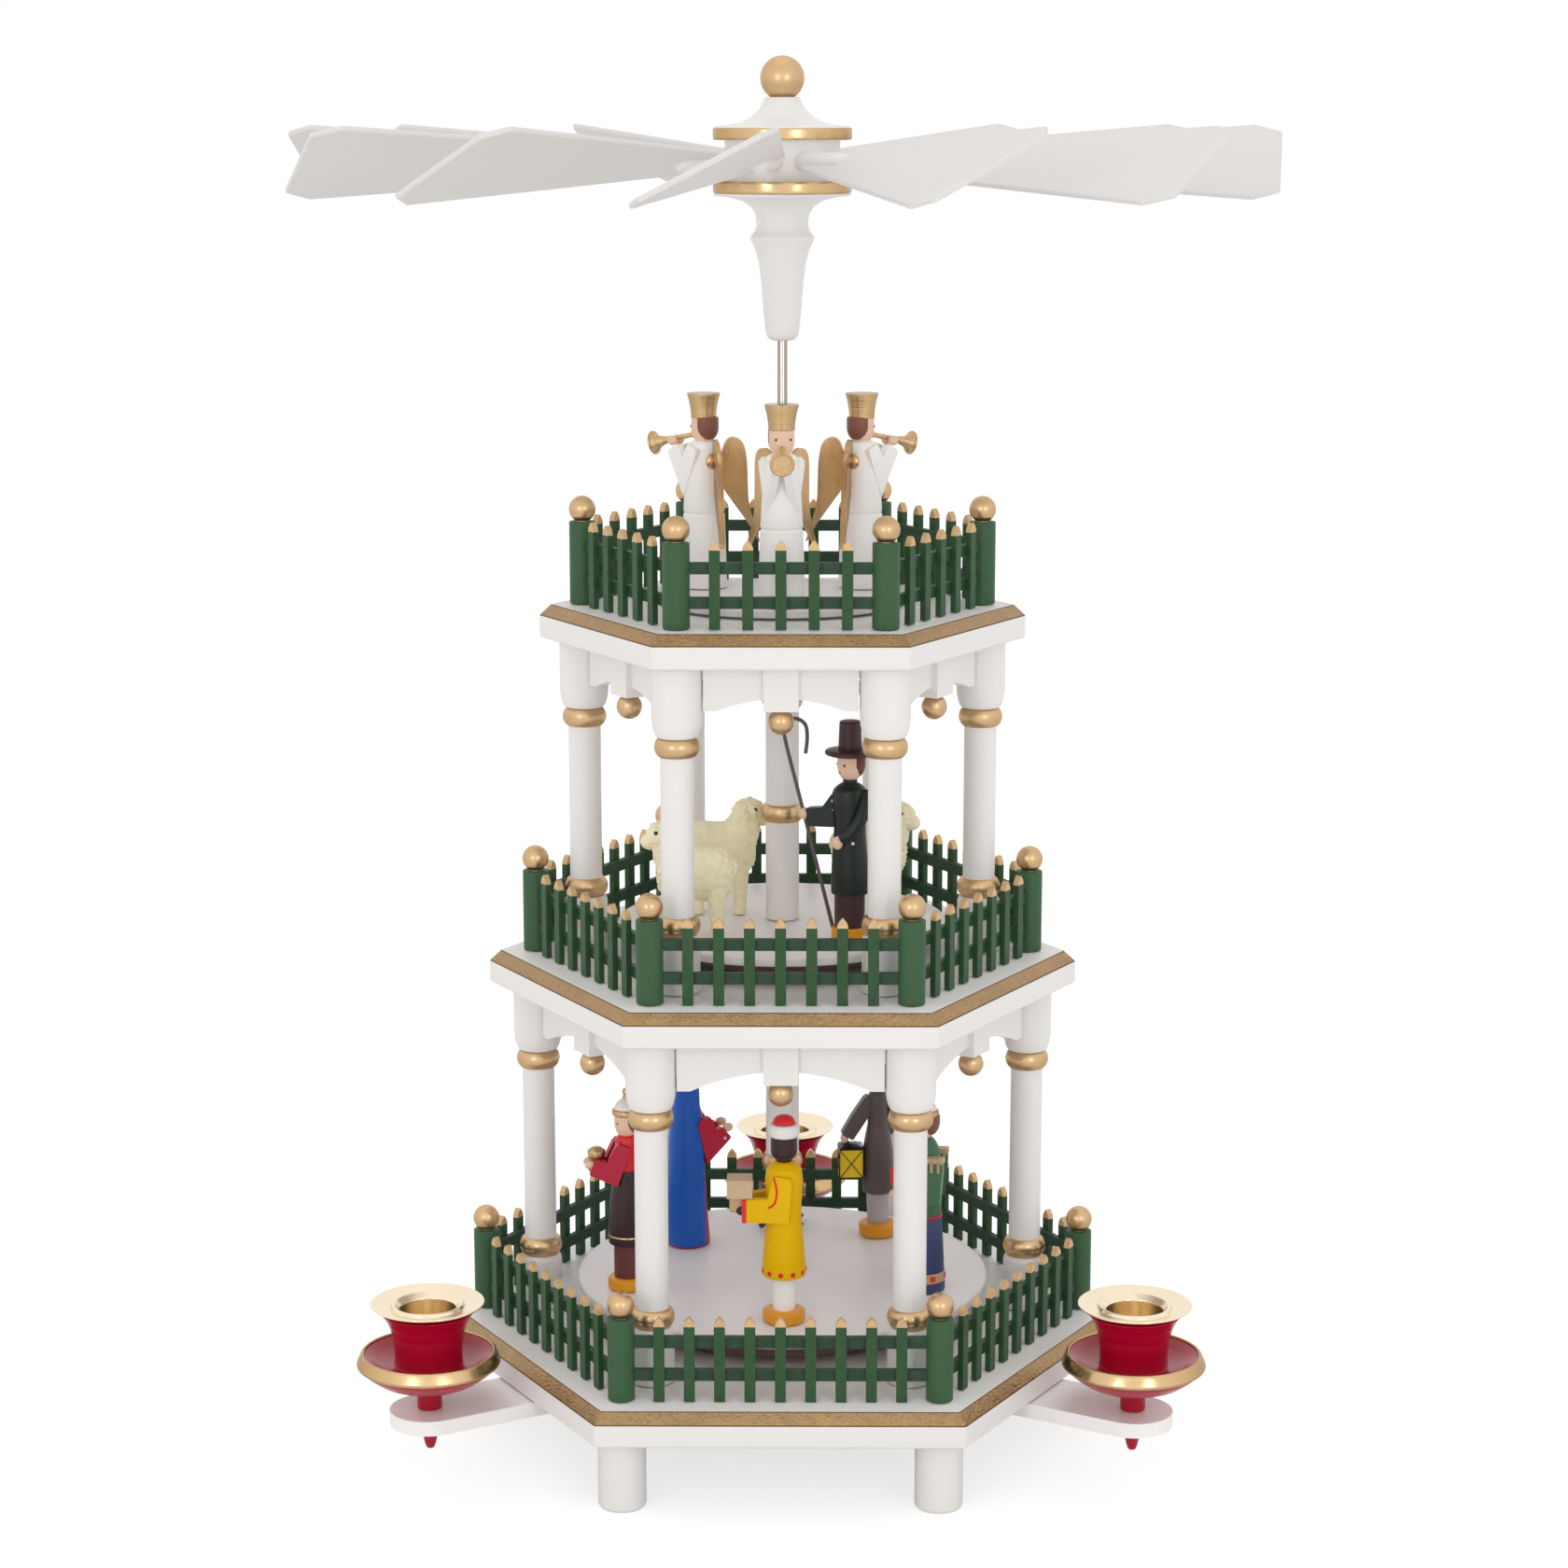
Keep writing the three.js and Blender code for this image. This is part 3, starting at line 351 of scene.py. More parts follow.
def board(outline, thickness, edge=0.25, segments=2):
    """An upright board seen from the front: its outline lies in X and Z."""
    made = bmesh.new()
    front = [made.verts.new((x, -thickness / 2, z)) for x, z in outline]
    back = [made.verts.new((x, thickness / 2, z)) for x, z in outline]
    count = len(outline)
    made.faces.new(front)
    made.faces.new(list(reversed(back)))
    for k in range(count):
        after = (k + 1) % count
        made.faces.new([front[after], front[k], back[k], back[after]])
    return softened(made, edge, segments) if edge else plain(made)


def block(width, depth, height, centre=(0, 0, 0), edge=0.3):
    x, y, z = centre
    half = width / 2
    points, faces = board(
        [(-half, -height / 2), (half, -height / 2), (half, height / 2), (-half, height / 2)], depth, edge
    )
    return [(px + x, py + y, pz + z) for px, py, pz in points], faces


def tube(path, radii, count=12, squash=1.0):
    """A round bar along a path, with one radius or one for each point."""
    line = [Vector(point) for point in path]
    widths = radii if isinstance(radii, (list, tuple)) else [radii] * len(line)
    side = None
    sections = []
    for at, point in enumerate(line):
        run = (line[min(at + 1, len(line) - 1)] - line[max(at - 1, 0)]).normalized()
        if side is None:
            side = run.orthogonal().normalized()
        side = (side - run * side.dot(run)).normalized()
        across = run.cross(side)
        turn = 2 * math.pi / count
        sections.append(
            [
                point + side * widths[at] * math.cos(turn * k) + across * widths[at] * squash * math.sin(turn * k)
                for k in range(count)
            ]
        )
    return loft(sections)


def curve_through(points, count):
    """Points at even steps along a smooth line through a few points."""
    line = [Vector(point) for point in points]
    line = [line[0] * 2 - line[1], *line, line[-1] * 2 - line[-2]]
    spans = len(line) - 3
    made = []
    for step in range(count + 1):
        place = min(step / count * spans, spans - 1e-6)
        at = int(place)
        t = place - at
        a, b, c, d = line[at : at + 4]
        made.append(
            0.5 * (2 * b + (c - a) * t + (2 * a - 5 * b + 4 * c - d) * t**2 + (3 * b - a - 3 * c + d) * t**3)
        )
    return made


# From shapes to pieces of the scene


def shaped(name, form):
    """A mesh object at the origin, in metres, from a form."""
    mesh = bpy.data.meshes.new(name)
    mesh.from_pydata([point * MM for point in form.points], [], form.faces)
    for finish in form.finishes:
        mesh.materials.append(finished_in(finish))
    mesh.polygons.foreach_set("material_index", form.finish_of)
    made = bpy.data.objects.new(name, mesh)
    bpy.context.scene.collection.objects.link(made)
    return made


def settled(made, body, nodes=()):
    """Faces outwards, smooth where it curves, and riding on its body."""
    mesh = made.data
    whole = bmesh.new()
    whole.from_mesh(mesh)
    bmesh.ops.recalc_face_normals(whole, faces=whole.faces)
    whole.to_mesh(mesh)
    whole.free()
    mesh.shade_smooth()
    mesh.set_sharp_from_angle(angle=math.radians(SMOOTH_UNDER))
    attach(made, body)
    if nodes:
        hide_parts(*nodes)
    return made


def piece(name, form, body, nodes=()):
    return settled(shaped(name, form), body, nodes)


# Paints and metals


class Wiring:
    """Makes and joins the nodes of one tree."""

    def __init__(self, tree):
        self.tree = tree

    def node(self, kind, inputs=None, **settings):
        made = self.tree.nodes.new(kind)
        for key, value in settings.items():
            setattr(made, key, value)
        for socket, value in (inputs or {}).items():
            self.feed(made.inputs[socket], value)
        return made

    def out(self, kind, inputs=None, **settings):
        return self.node(kind, inputs, **settings).outputs[0]

    def feed(self, socket, value):
        if isinstance(value, bpy.types.NodeSocket):
            self.tree.links.new(value, socket)
        else:
            socket.default_value = value

    def math(self, operation, *values):
        made = self.tree.nodes.new("ShaderNodeMath")
        made.operation = operation
        for at, value in enumerate(values):
            self.feed(made.inputs[at], value)
        return made.outputs[0]

    def times(self, first, second):
        return self.math("MULTIPLY", first, second)

    def minus(self, first, second):
        return self.math("SUBTRACT", first, second)

    def over(self, first, second):
        return self.math("DIVIDE", first, second)

    def mix(self, share, first, second):
        made = self.tree.nodes.new("ShaderNodeMix")
        made.data_type = "RGBA"
        self.feed(made.inputs[0], share)
        self.feed(made.inputs[6], first)
        self.feed(made.inputs[7], second)
        return made.outputs[2]

    def noise(self, vector, scale, detail):
        inputs = {"Vector": vector, "Scale": scale, "Detail": detail, "Roughness": 0.55}
        return self.node("ShaderNodeTexNoise", inputs).outputs["Fac"]


def new_group(name, kind, inputs, outputs):
    """An empty node group with named inputs and outputs; its two end nodes come back with it."""
    tree = bpy.data.node_groups.new(name, kind)
    for label, socket, default in inputs:
        made = tree.interface.new_socket(label, in_out="INPUT", socket_type=f"NodeSocket{socket}")
        if default is not None:
            made.default_value = default
    for label, socket in outputs:
        tree.interface.new_socket(label, in_out="OUTPUT", socket_type=f"NodeSocket{socket}")
    return tree, tree.nodes.new("NodeGroupInput").outputs, tree.nodes.new("NodeGroupOutput").inputs


def painted_wood_group():
    """Paint over wood: soft mottling, streaks along the grain and a fine orange peel."""
    tree, given, result = new_group(
        "Painted wood",
        "ShaderNodeTree",
        [
            ("Colour", "Color", (0.8, 0.8, 0.8, 1)),
            ("Streaks", "Float", 0.04),
            ("Mottle", "Float", 0.03),
            ("Streak Size", "Float", 300.0),
            ("Stretch", "Vector", (1, 1, 0.08)),
            ("Roughness", "Float", 0.4),
        ],
        [("Colour", "Color"), ("Roughness", "Float"), ("Height", "Float")],
    )
    wire = Wiring(tree)
    place = wire.node("ShaderNodeTexCoord").outputs["Object"]
    along = wire.out("ShaderNodeMapping", {"Vector": place, "Scale": given["Stretch"]})
    streak = wire.minus(wire.noise(along, given["Streak Size"], 4), 0.5)
    cloud = wire.minus(wire.noise(place, 38.0, 2), 0.5)
    peel = wire.noise(place, 1500.0, 2)
    shade = wire.math("MULTIPLY_ADD", streak, wire.times(given["Streaks"], 2.0), 1.0)
    shade = wire.math("MULTIPLY_ADD", cloud, wire.times(given["Mottle"], 2.0), shade)
    tinted = wire.out("ShaderNodeHueSaturation", {"Value": shade, "Color": given["Colour"]})
    wire.feed(result["Colour"], tinted)
    gloss = wire.math("MULTIPLY_ADD", streak, 0.16, wire.math("MULTIPLY_ADD", cloud, 0.2, given["Roughness"]))
    wire.feed(result["Roughness"], gloss)
    wire.feed(result["Height"], wire.math("MULTIPLY_ADD", streak, 2.0, wire.times(peel, 0.35)))
    return tree


def specks_and_glints_group():
    """Small pale grains scattered over a surface: painted glints on the metal paints, curls on the wool."""
    tree, given, result = new_group(
        "Specks and painted glints",
        "ShaderNodeTree",
        [
            ("Colour", "Color", (0.8, 0.8, 0.8, 1)),
            ("Speck Colour", "Color", (1, 1, 1, 1)),
            ("Amount", "Float", 0.5),
            ("Size", "Float", 900.0),
        ],
        [("Colour", "Color"), ("Mask", "Float"), ("Height", "Float")],
    )
    wire = Wiring(tree)
    place = wire.node("ShaderNodeTexCoord").outputs["Object"]
    cells = wire.node("ShaderNodeTexVoronoi", {"Vector": place, "Scale": given["Size"]})
    round_grain = wire.minus(1.0, wire.times(cells.outputs["Distance"], 1.5))
    patch = wire.noise(place, 160.0, 3)
    mask = wire.times(wire.times(round_grain, patch), 2.2)
    mask = wire.out("ShaderNodeClamp", {"Value": mask})
    share = wire.times(mask, given["Amount"])
    wire.feed(result["Colour"], wire.mix(share, given["Colour"], given["Speck Colour"]))
    wire.feed(result["Mask"], share)
    wire.feed(result["Height"], round_grain)
    return tree


def rubbed_edges_and_shade_group():
    """Paint that thins on outer edges, and painted shade that darkens inner ones."""
    tree, given, result = new_group(
        "Rubbed edges and crease shade",
        "ShaderNodeTree",
        [
            ("Colour", "Color", (0.8, 0.8, 0.8, 1)),
            ("Edge Colour", "Color", (1, 1, 1, 1)),
            ("Edges", "Float", 0.3),
            ("Crease Shade", "Float", 0.25),
        ],
        [("Colour", "Color")],
    )
    wire = Wiring(tree)
    place = wire.node("ShaderNodeTexCoord").outputs["Object"]
    bend = wire.node("ShaderNodeNewGeometry").outputs["Pointiness"]
    chipped = wire.noise(place, 420.0, 3)
    outer, inner = (
        wire.out(
            "ShaderNodeMapRange",
            {"Value": bend, "From Min": start, "From Max": end, "To Min": 0.0, "To Max": 1.0},
        )
        for start, end in ((0.52, 0.62), (0.48, 0.38))
    )
    worn = wire.times(wire.times(outer, chipped), wire.times(given["Edges"], 2.0))
    # Painted shade: inner edges are darkened.
    crease_shade = wire.minus(1.0, wire.times(inner, given["Crease Shade"]))
    paled = wire.mix(wire.out("ShaderNodeClamp", {"Value": worn}), given["Colour"], given["Edge Colour"])
    wire.feed(result["Colour"], wire.out("ShaderNodeHueSaturation", {"Value": crease_shade, "Color": paled}))
    return tree


def linear(shade):
    values = [c / 12.92 if c <= 0.04045 else ((c + 0.055) / 1.055) ** 2.4 for c in shade]
    return (*values, 1.0)


UPRIGHT = (1, 1, 0.06)
ALONG = (0.06, 1, 1)
EVEN = (1, 1, 1)


def painted(roughness, streaks, mottle, stretch, bump, **more):
    """How a finish is painted and takes the light."""
    return dict(roughness=roughness, streaks=streaks, mottle=mottle, stretch=stretch, bump=bump, **more)


# A finish without paint= takes the colour of its own name
FINISHES = {
    "white": painted(0.36, 0.012, 0.012, UPRIGHT, 0.06, coat=0.15),
    "plate_white": painted(0.4, 0.02, 0.015, ALONG, 0.1, paint="white"),
    # Painted light: the vane, turntable, arm and robe whites are retinted, lighter or darker copies of the plain
    # white, for the light and shade on those pieces.
    "vane_white_painted_shade": painted(0.42, 0.018, 0.02, ALONG, 0.1),
    "disc_white_painted_light": painted(0.4, 0.015, 0.02, ALONG, 0.08),
    "arm_white_painted_light": painted(0.4, 0.02, 0.015, ALONG, 0.1),
    "robe_white_painted_light": painted(0.38, 0.012, 0.02, UPRIGHT, 0.06),
    # rim= and reach= darken a metal's colour towards its outline: painted shade.
    "gold": painted(0.35, 0.05, 0.05, (1, 1, 3), 0.05, rim=0.5, metallic=1.0),
    "band": painted(0.24, 0.1, 0.05, (1, 1, 3), 0.05, reach=0.65, rim=0.95, metallic=1.0),
    # specks= scatters pale grains: painted glints on the metal paints, curls on the wool.
    "chamfer": painted(0.38, 0.3, 0.22, EVEN, 0.6, metallic=0.95, specks=0.45, rim=0.3),
    "gilt_line": painted(0.5, 0.2, 0.2, EVEN, 0.4, metallic=0.6),
    "leaf": painted(0.27, 0.16, 0.3, (1, 1, 0.3), 0.15, rim=0.6, reach=0.55, metallic=0.95),
    "bell": painted(0.4, 0.08, 0.1, EVEN, 0.3, paint="leaf", metallic=0.85, specks=0.5),
    "tip": painted(0.45, 0.12, 0.2, EVEN, 0.3, paint="leaf", metallic=0.6, specks=0.3),
    "crown": painted(0.24, 0.12, 0.06, (0.05, 0.05, 6), 0.3, paint="leaf", rim=0.8, reach=0.5, metallic=1.0),
    "brass": painted(0.2, 0.04, 0.04, EVEN, 0.04, rim=0.15, metallic=1.0),
    "steel": painted(0.14, 0.05, 0.03, UPRIGHT, 0.01, rim=1.0, reach=0.7, metallic=1.0),
    # edges= pales the worn outer edges, and with it comes painted shade in inner edges.
    "post": painted(0.5, 0.09, 0.08, UPRIGHT, 0.3, edges=0.25),
    "slat": painted(0.48, 0.1, 0.1, UPRIGHT, 0.3, edges=0.3),
    "rail": painted(0.5, 0.1, 0.1, EVEN, 0.3, edges=0.3),
    "red": painted(0.24, 0.04, 0.05, EVEN, 0.06, sheen=0.2, coat=0.35),
    "core": painted(0.55, 0.16, 0.12, (1, 1, 0.2), 0.3),
    "wool": painted(0.85, 0.06, 0.08, EVEN, 1.0, specks=0.4, size=520.0),
    "straw": painted(0.6, 0.2, 0.1, UPRIGHT, 0.4),
    "box_wood": painted(0.6, 0.1, 0.06, ALONG, 0.3),
    "yellow": painted(0.4, 0.05, 0.05, UPRIGHT, 0.12, sheen=0.12, edges=0.1),
    "skin": painted(0.42, 0.02, 0.04, EVEN, 0.08),
    "black": painted(0.3, 0.02, 0.02, EVEN, 0.05),
}
PLAIN_PAINT = painted(0.36, 0.05, 0.06, UPRIGHT, 0.12, coat=0.1, edges=0.12)


def group_named(name, maker):
    return bpy.data.node_groups.get(name) or maker()


def finished_in(name):
    """The material of a finish, made when it is first asked for."""
    title = f"{name}_finish"
    if title in bpy.data.materials:
        return bpy.data.materials[title]
    look = FINISHES.get(name, PLAIN_PAINT)
    shade = linear(getattr(bpy.context.scene.pyramid_paints, look.get("paint", name)))
    material = bpy.data.materials.new(title)
    material.use_nodes = True
    material.node_tree.nodes.clear()
    wire = Wiring(material.node_tree)
    given = {"Colour": shade}
    given |= {label: look[label.lower()] for label in ("Streaks", "Mottle", "Stretch", "Roughness")}
    paint = wire.node("ShaderNodeGroup", given, node_tree=group_named("Painted wood", painted_wood_group))
    surface, height = paint.outputs["Colour"], paint.outputs["Height"]
    # A paler tone of the colour, for the pale specks and the worn outer edges.
    pale = tuple(min(1.0, c * 1.35 + 0.05) for c in shade[:3]) + (1.0,)
    # Pale specks: painted glints on the metal and gilded finishes, curls on the wool.
    if look.get("specks"):
        given = {
            "Colour": surface,
            "Speck Colour": pale,
            "Amount": look["specks"],
            "Size": look.get("size", 1100.0),
        }
        grains = wire.node("ShaderNodeGroup", given, node_tree=group_named("Specks and painted glints", specks_and_glints_group))
        surface = grains.outputs["Colour"]
        height = wire.math("MULTIPLY_ADD", grains.outputs["Height"], 1.2, height)
    # Worn, paler outer edges, and painted shade that darkens inner edges.
    if look.get("edges"):
        given = {"Colour": surface, "Edge Colour": pale, "Edges": look["edges"]}
        rubbed_and_shaded = wire.node(
            "ShaderNodeGroup", given, node_tree=group_named("Rubbed edges and crease shade", rubbed_edges_and_shade_group)
        )
        surface = rubbed_and_shaded.outputs["Colour"]
    # Painted shade: the colour darkens towards a deep brown where the surface turns away from the view, for the
    # darker reflections at a metal's outline.
    if look.get("rim"):
        painted_rim_shade = wire.node("ShaderNodeLayerWeight", {"Blend": look.get("reach", 0.42)}).outputs["Facing"]
        deep = tuple(c * share for c, share in zip(shade[:3], (0.5, 0.36, 0.22))) + (1.0,)
        surface = wire.mix(wire.times(painted_rim_shade, look["rim"]), surface, deep)
    bump = wire.node("ShaderNodeBump", {"Height": height, "Strength": look["bump"], "Distance": 0.0002})
    shader = wire.node("ShaderNodeBsdfPrincipled", {"Base Color": surface, "Normal": bump.outputs[0]})
    wire.feed(shader.inputs["Roughness"], paint.outputs["Roughness"])
    shader.inputs["Metallic"].default_value = look.get("metallic", 0.0)
    shader.inputs["Coat Weight"].default_value = look.get("coat", 0.0)
    shader.inputs["Coat Roughness"].default_value = 0.2
    shader.inputs["Specular IOR Level"].default_value = look.get("sheen", 0.3)
    wire.node("ShaderNodeOutputMaterial", {"Surface": shader.outputs[0]})
    return material


# Node trees that repeat a shape or grow one by a rule


def copies_tree():
    """Copies of a shape turned about the spindle in equal steps."""
    tree, given, result = new_group(
        "Copies round the spindle",
        "GeometryNodeTree",
        [
            ("Geometry", "Geometry", None),
            ("Count", "Int", 6),
            ("Start Angle", "Float", 0.0),
            ("Finish", "Material", None),
        ],
        [("Geometry", "Geometry")],
    )
    wire = Wiring(tree)
    line = wire.out("GeometryNodeMeshLine", {"Count": given["Count"], "Offset": (0, 0, 0)})
    step = wire.over(2 * math.pi, given["Count"])
    index = wire.out("GeometryNodeInputIndex")
    turn = wire.math("MULTIPLY_ADD", index, step, given["Start Angle"])
    euler = wire.out("ShaderNodeCombineXYZ", {"Z": turn})
    copies = wire.out(
        "GeometryNodeInstanceOnPoints", {"Points": line, "Instance": given["Geometry"], "Rotation": euler}
    )
    finish_tree(wire, copies, given, result)
    return tree


def finish_tree(wire, shape, given, result):
    real = wire.out("GeometryNodeRealizeInstances", {"Geometry": shape})
    painted = wire.out("GeometryNodeSetMaterial", {"Geometry": real, "Material": given["Finish"]})
    wire.feed(result[0], painted)


def pickets_tree():
    """A row of slats along X, repeated on every side of the fence."""
    tree, given, result = new_group(
        "Pickets on every side",
        "GeometryNodeTree",
        [
            ("Geometry", "Geometry", None),
            ("Slats", "Int", 9),
            ("Row Length", "Float", 0.07),
            ("Distance", "Float", 0.08),
            ("Level", "Float", 0.0),
            ("Sides", "Int", 6),
            ("Unevenness", "Float", 0.004),
            ("Finish", "Material", None),
        ],
        [("Geometry", "Geometry")],
    )
    wire = Wiring(tree)
    half = wire.times(given["Row Length"], 0.5)
    gaps = wire.minus(given["Slats"], 1.0)
    pitch = wire.over(given["Row Length"], gaps)
    start = wire.out(
        "ShaderNodeCombineXYZ",
        {"X": wire.times(half, -1.0), "Y": wire.times(given["Distance"], -1.0), "Z": given["Level"]},
    )
    offset = wire.out("ShaderNodeCombineXYZ", {"X": pitch})
    row = wire.out(
        "GeometryNodeMeshLine", {"Count": given["Slats"], "Start Location": start, "Offset": offset}
    )
    sides = wire.out("GeometryNodeMeshLine", {"Count": given["Sides"], "Offset": (0, 0, 0)})
    index = wire.out("GeometryNodeInputIndex")
    turn = wire.times(index, wire.over(2 * math.pi, given["Sides"]))
    euler = wire.out("ShaderNodeCombineXYZ", {"Z": turn})
    rows = wire.out("GeometryNodeInstanceOnPoints", {"Points": sides, "Instance": row, "Rotation": euler})
    places = wire.out("GeometryNodeRealizeInstances", {"Geometry": rows})
    number = wire.out("GeometryNodeInputIndex")
    side = wire.math("FLOOR", wire.over(number, given["Slats"]))
    facing = wire.times(side, wire.over(2 * math.pi, given["Sides"]))
    sway = wire.node("FunctionNodeRandomValue", {"ID": number, "Seed": 7}, data_type="FLOAT")
    lean = wire.times(wire.minus(sway.outputs[1], 0.5), given["Unevenness"])
    upright = wire.out("ShaderNodeCombineXYZ", {"Y": lean, "Z": facing})
    slats = wire.out(
        "GeometryNodeInstanceOnPoints", {"Points": places, "Instance": given["Geometry"], "Rotation": upright}
    )
    finish_tree(wire, slats, given, result)
    return tree


def vane_tree():
    """A flat vane that widens evenly from its root and has clipped corners, pitched and turned to its place."""
    sizes = [
        "Root", "Tip", "Root Width", "Width", "Tip Width", "Corner", "Thickness", "Pitch", "Azimuth", "Level"
    ]
    tree, given, result = new_group(
        "Vane by rule",
        "GeometryNodeTree",
        [("Geometry", "Geometry", None)]
        + [(label, "Float", 0.01) for label in sizes]
        + [("Finish", "Material", None)],
        [("Geometry", "Geometry")],
    )
    wire = Wiring(tree)
    grid = wire.node(
        "GeometryNodeMeshGrid", {"Size X": 1.0, "Size Y": 2.0, "Vertices X": 32, "Vertices Y": 7}
    )
    here = wire.node("ShaderNodeSeparateXYZ", {"Vector": wire.out("GeometryNodeInputPosition")}).outputs
    share = wire.math("ADD", here[0], 0.5)
    along = wire.math("MULTIPLY_ADD", share, wire.minus(given["Tip"], given["Root"]), given["Root"])
    shoulder = wire.minus(given["Tip"], given["Corner"])
    widening = wire.over(
        wire.minus(given["Width"], given["Root Width"]),
        wire.minus(shoulder, given["Root"]),
    )
    clipping = wire.over(wire.minus(given["Tip Width"], given["Width"]), given["Corner"])
    grown = wire.math("MULTIPLY_ADD", wire.minus(along, given["Root"]), widening, given["Root Width"])
    clipped = wire.math("MULTIPLY_ADD", wire.minus(along, shoulder), clipping, given["Width"])
    half = wire.times(wire.math("MINIMUM", grown, clipped), 0.5)
    under = wire.times(given["Thickness"], -0.5)
    place = wire.out(
        "ShaderNodeCombineXYZ", {"X": along, "Y": wire.times(here[1], half), "Z": under}
    )
    face = wire.out("GeometryNodeSetPosition", {"Geometry": grid.outputs[0], "Position": place})
    rise = wire.out("ShaderNodeCombineXYZ", {"Z": given["Thickness"]})
    raised = wire.out("GeometryNodeExtrudeMesh", {"Mesh": face, "Offset": rise, "Individual": False})
    flipped = wire.out("GeometryNodeFlipFaces", {"Mesh": face})
    both = wire.node("GeometryNodeJoinGeometry")
    wire.feed(both.inputs[0], raised)
    wire.feed(both.inputs[0], flipped)
    closed = wire.out("GeometryNodeMergeByDistance", {"Geometry": both.outputs[0], "Distance": 0.00001})
    turn = wire.out("ShaderNodeCombineXYZ", {"X": given["Pitch"], "Z": given["Azimuth"]})
    lift = wire.out("ShaderNodeCombineXYZ", {"Z": given["Level"]})
    placed = wire.out("GeometryNodeTransform", {"Geometry": closed, "Translation": lift, "Rotation": turn})
    finish_tree(wire, placed, given, result)
    return tree


def grown(name, form, maker, title, values, body, nodes=(), slot=None, edge=0.0):
    """Runs a node tree on a form, and keeps the result as one plain mesh on one body."""
    tree = group_named(title, maker)
    made = shaped(name, form)
    made.data.materials.clear()
    modifier = made.modifiers.new(title, "NODES")
    modifier.node_group = tree
    sockets = {item.name: item.identifier for item in tree.interface.items_tree if item.in_out == "INPUT"}
    for label, value in values.items():
        modifier[sockets[label]] = value
    evaluated = made.evaluated_get(bpy.context.evaluated_depsgraph_get())
    mesh = bpy.data.meshes.new_from_object(evaluated)
    made.modifiers.remove(modifier)
    made.data = mesh
    mesh.name = name
    if not mesh.polygons:
        raise RuntimeError(f"{title} made no faces for {name}")
    if edge:
        whole = bmesh.new()
        whole.from_mesh(mesh)
        sharp = [e for e in whole.edges if e.is_manifold and e.calc_face_angle(0) > math.radians(30)]
        bmesh.ops.bevel(whole, geom=sharp, offset=edge * MM, segments=2, affect="EDGES", clamp_overlap=True)
        whole.to_mesh(mesh)
        whole.free()
    return settled(made, body, nodes)


def copied(name, form, count, finish, body, nodes=(), slot=None, start=0.0):
    values = {"Count": count, "Start Angle": math.radians(start), "Finish": finished_in(finish)}
    return grown(name, form, copies_tree, "Copies round the spindle", values, body, nodes, slot)


def sizes_of_tower():
    return bpy.context.scene.pyramid_tower


def sizes_of_rotor():
    return bpy.context.scene.pyramid_rotor


# Plates, feet and arches


def hexagon(corner_radius, height, rounding):
    """A six-sided outline with one side to the front and its corners rounded."""
    centre = corner_radius - rounding / APOTHEM_SHARE
    outline = []
    for k in range(SIDES):
        azimuth = corner(k)
        for step in range(6):
            turn = math.radians(azimuth - 30 + 12 * step)
            x = centre * math.cos(math.radians(azimuth)) + rounding * math.cos(turn)
            y = centre * math.sin(math.radians(azimuth)) + rounding * math.sin(turn)
            outline.append((x, y, height))
    return outline


def circle_under(outline, radius):
    """A circle whose points lie under those of an outline."""
    turns = [math.atan2(y, x) for x, y, _ in outline]
    return [(radius * math.cos(turn), radius * math.sin(turn), outline[0][2]) for turn in turns]


def plate(name, node, body_radius, well):
    """A sawn and painted plate whose upper edge is chamfered and gilded."""
    sizes = sizes_of_tower()
    slope, thickness = sizes.chamfer_width, PLATE_THICKNESS
    bottom = top(node) - thickness
    turn_up = thickness - sizes.chamfer_height
    margin = 0.09
    line = [
        (0.5, 0),
        (0, 0.5),
        (0, turn_up - 0.25),
        (0.03, turn_up - 0.08),
        (0.12, turn_up + 0.08),
        (slope * margin, turn_up + sizes.chamfer_height * margin),
        (slope * (1 - margin), thickness - sizes.chamfer_height * margin),
        (slope, thickness - 0.06),
        (slope + 0.25, thickness),
    ]
    rings = [
        hexagon(body_radius - inset / APOTHEM_SHARE, bottom + rise, max(0.3, sizes.edge * 1.6 - inset * 0.1))
        for inset, rise in line
    ]
    finishes = ["plate_white"] * 4 + ["gilt_line"] * 2 + ["chamfer", "gilt_line"] + ["plate_white"] * 3
    low, high = circle_under(rings[0], well), circle_under(rings[-1], well)
    form = Form().add(loft([low, *rings, high], closed=True), "plate_white")
    form.finishes += ["chamfer", "gilt_line"]
    for band, finish in enumerate(finishes):
        start = band * len(rings[0])
        form.finish_of[start : start + len(rings[0])] = [form.finishes.index(finish)] * len(rings[0])
    return piece(name, form, TOWER, (node,))


def arch_outline(half_chord, spring_drop, crown_drop, ledge):
    """The scalloped board under a plate edge."""
    springing = half_chord - ledge
    curve = []
    for step in range(25):
        share = step / 24
        x = -springing + 2 * springing * share
        rise = 4 * share * (1 - share) * (spring_drop - crown_drop)
        curve.append((x, -spring_drop + rise))
    return [
        (-half_chord, 0.2), (-half_chord, -spring_drop), *curve, (half_chord, -spring_drop), (half_chord, 0.2)
    ]


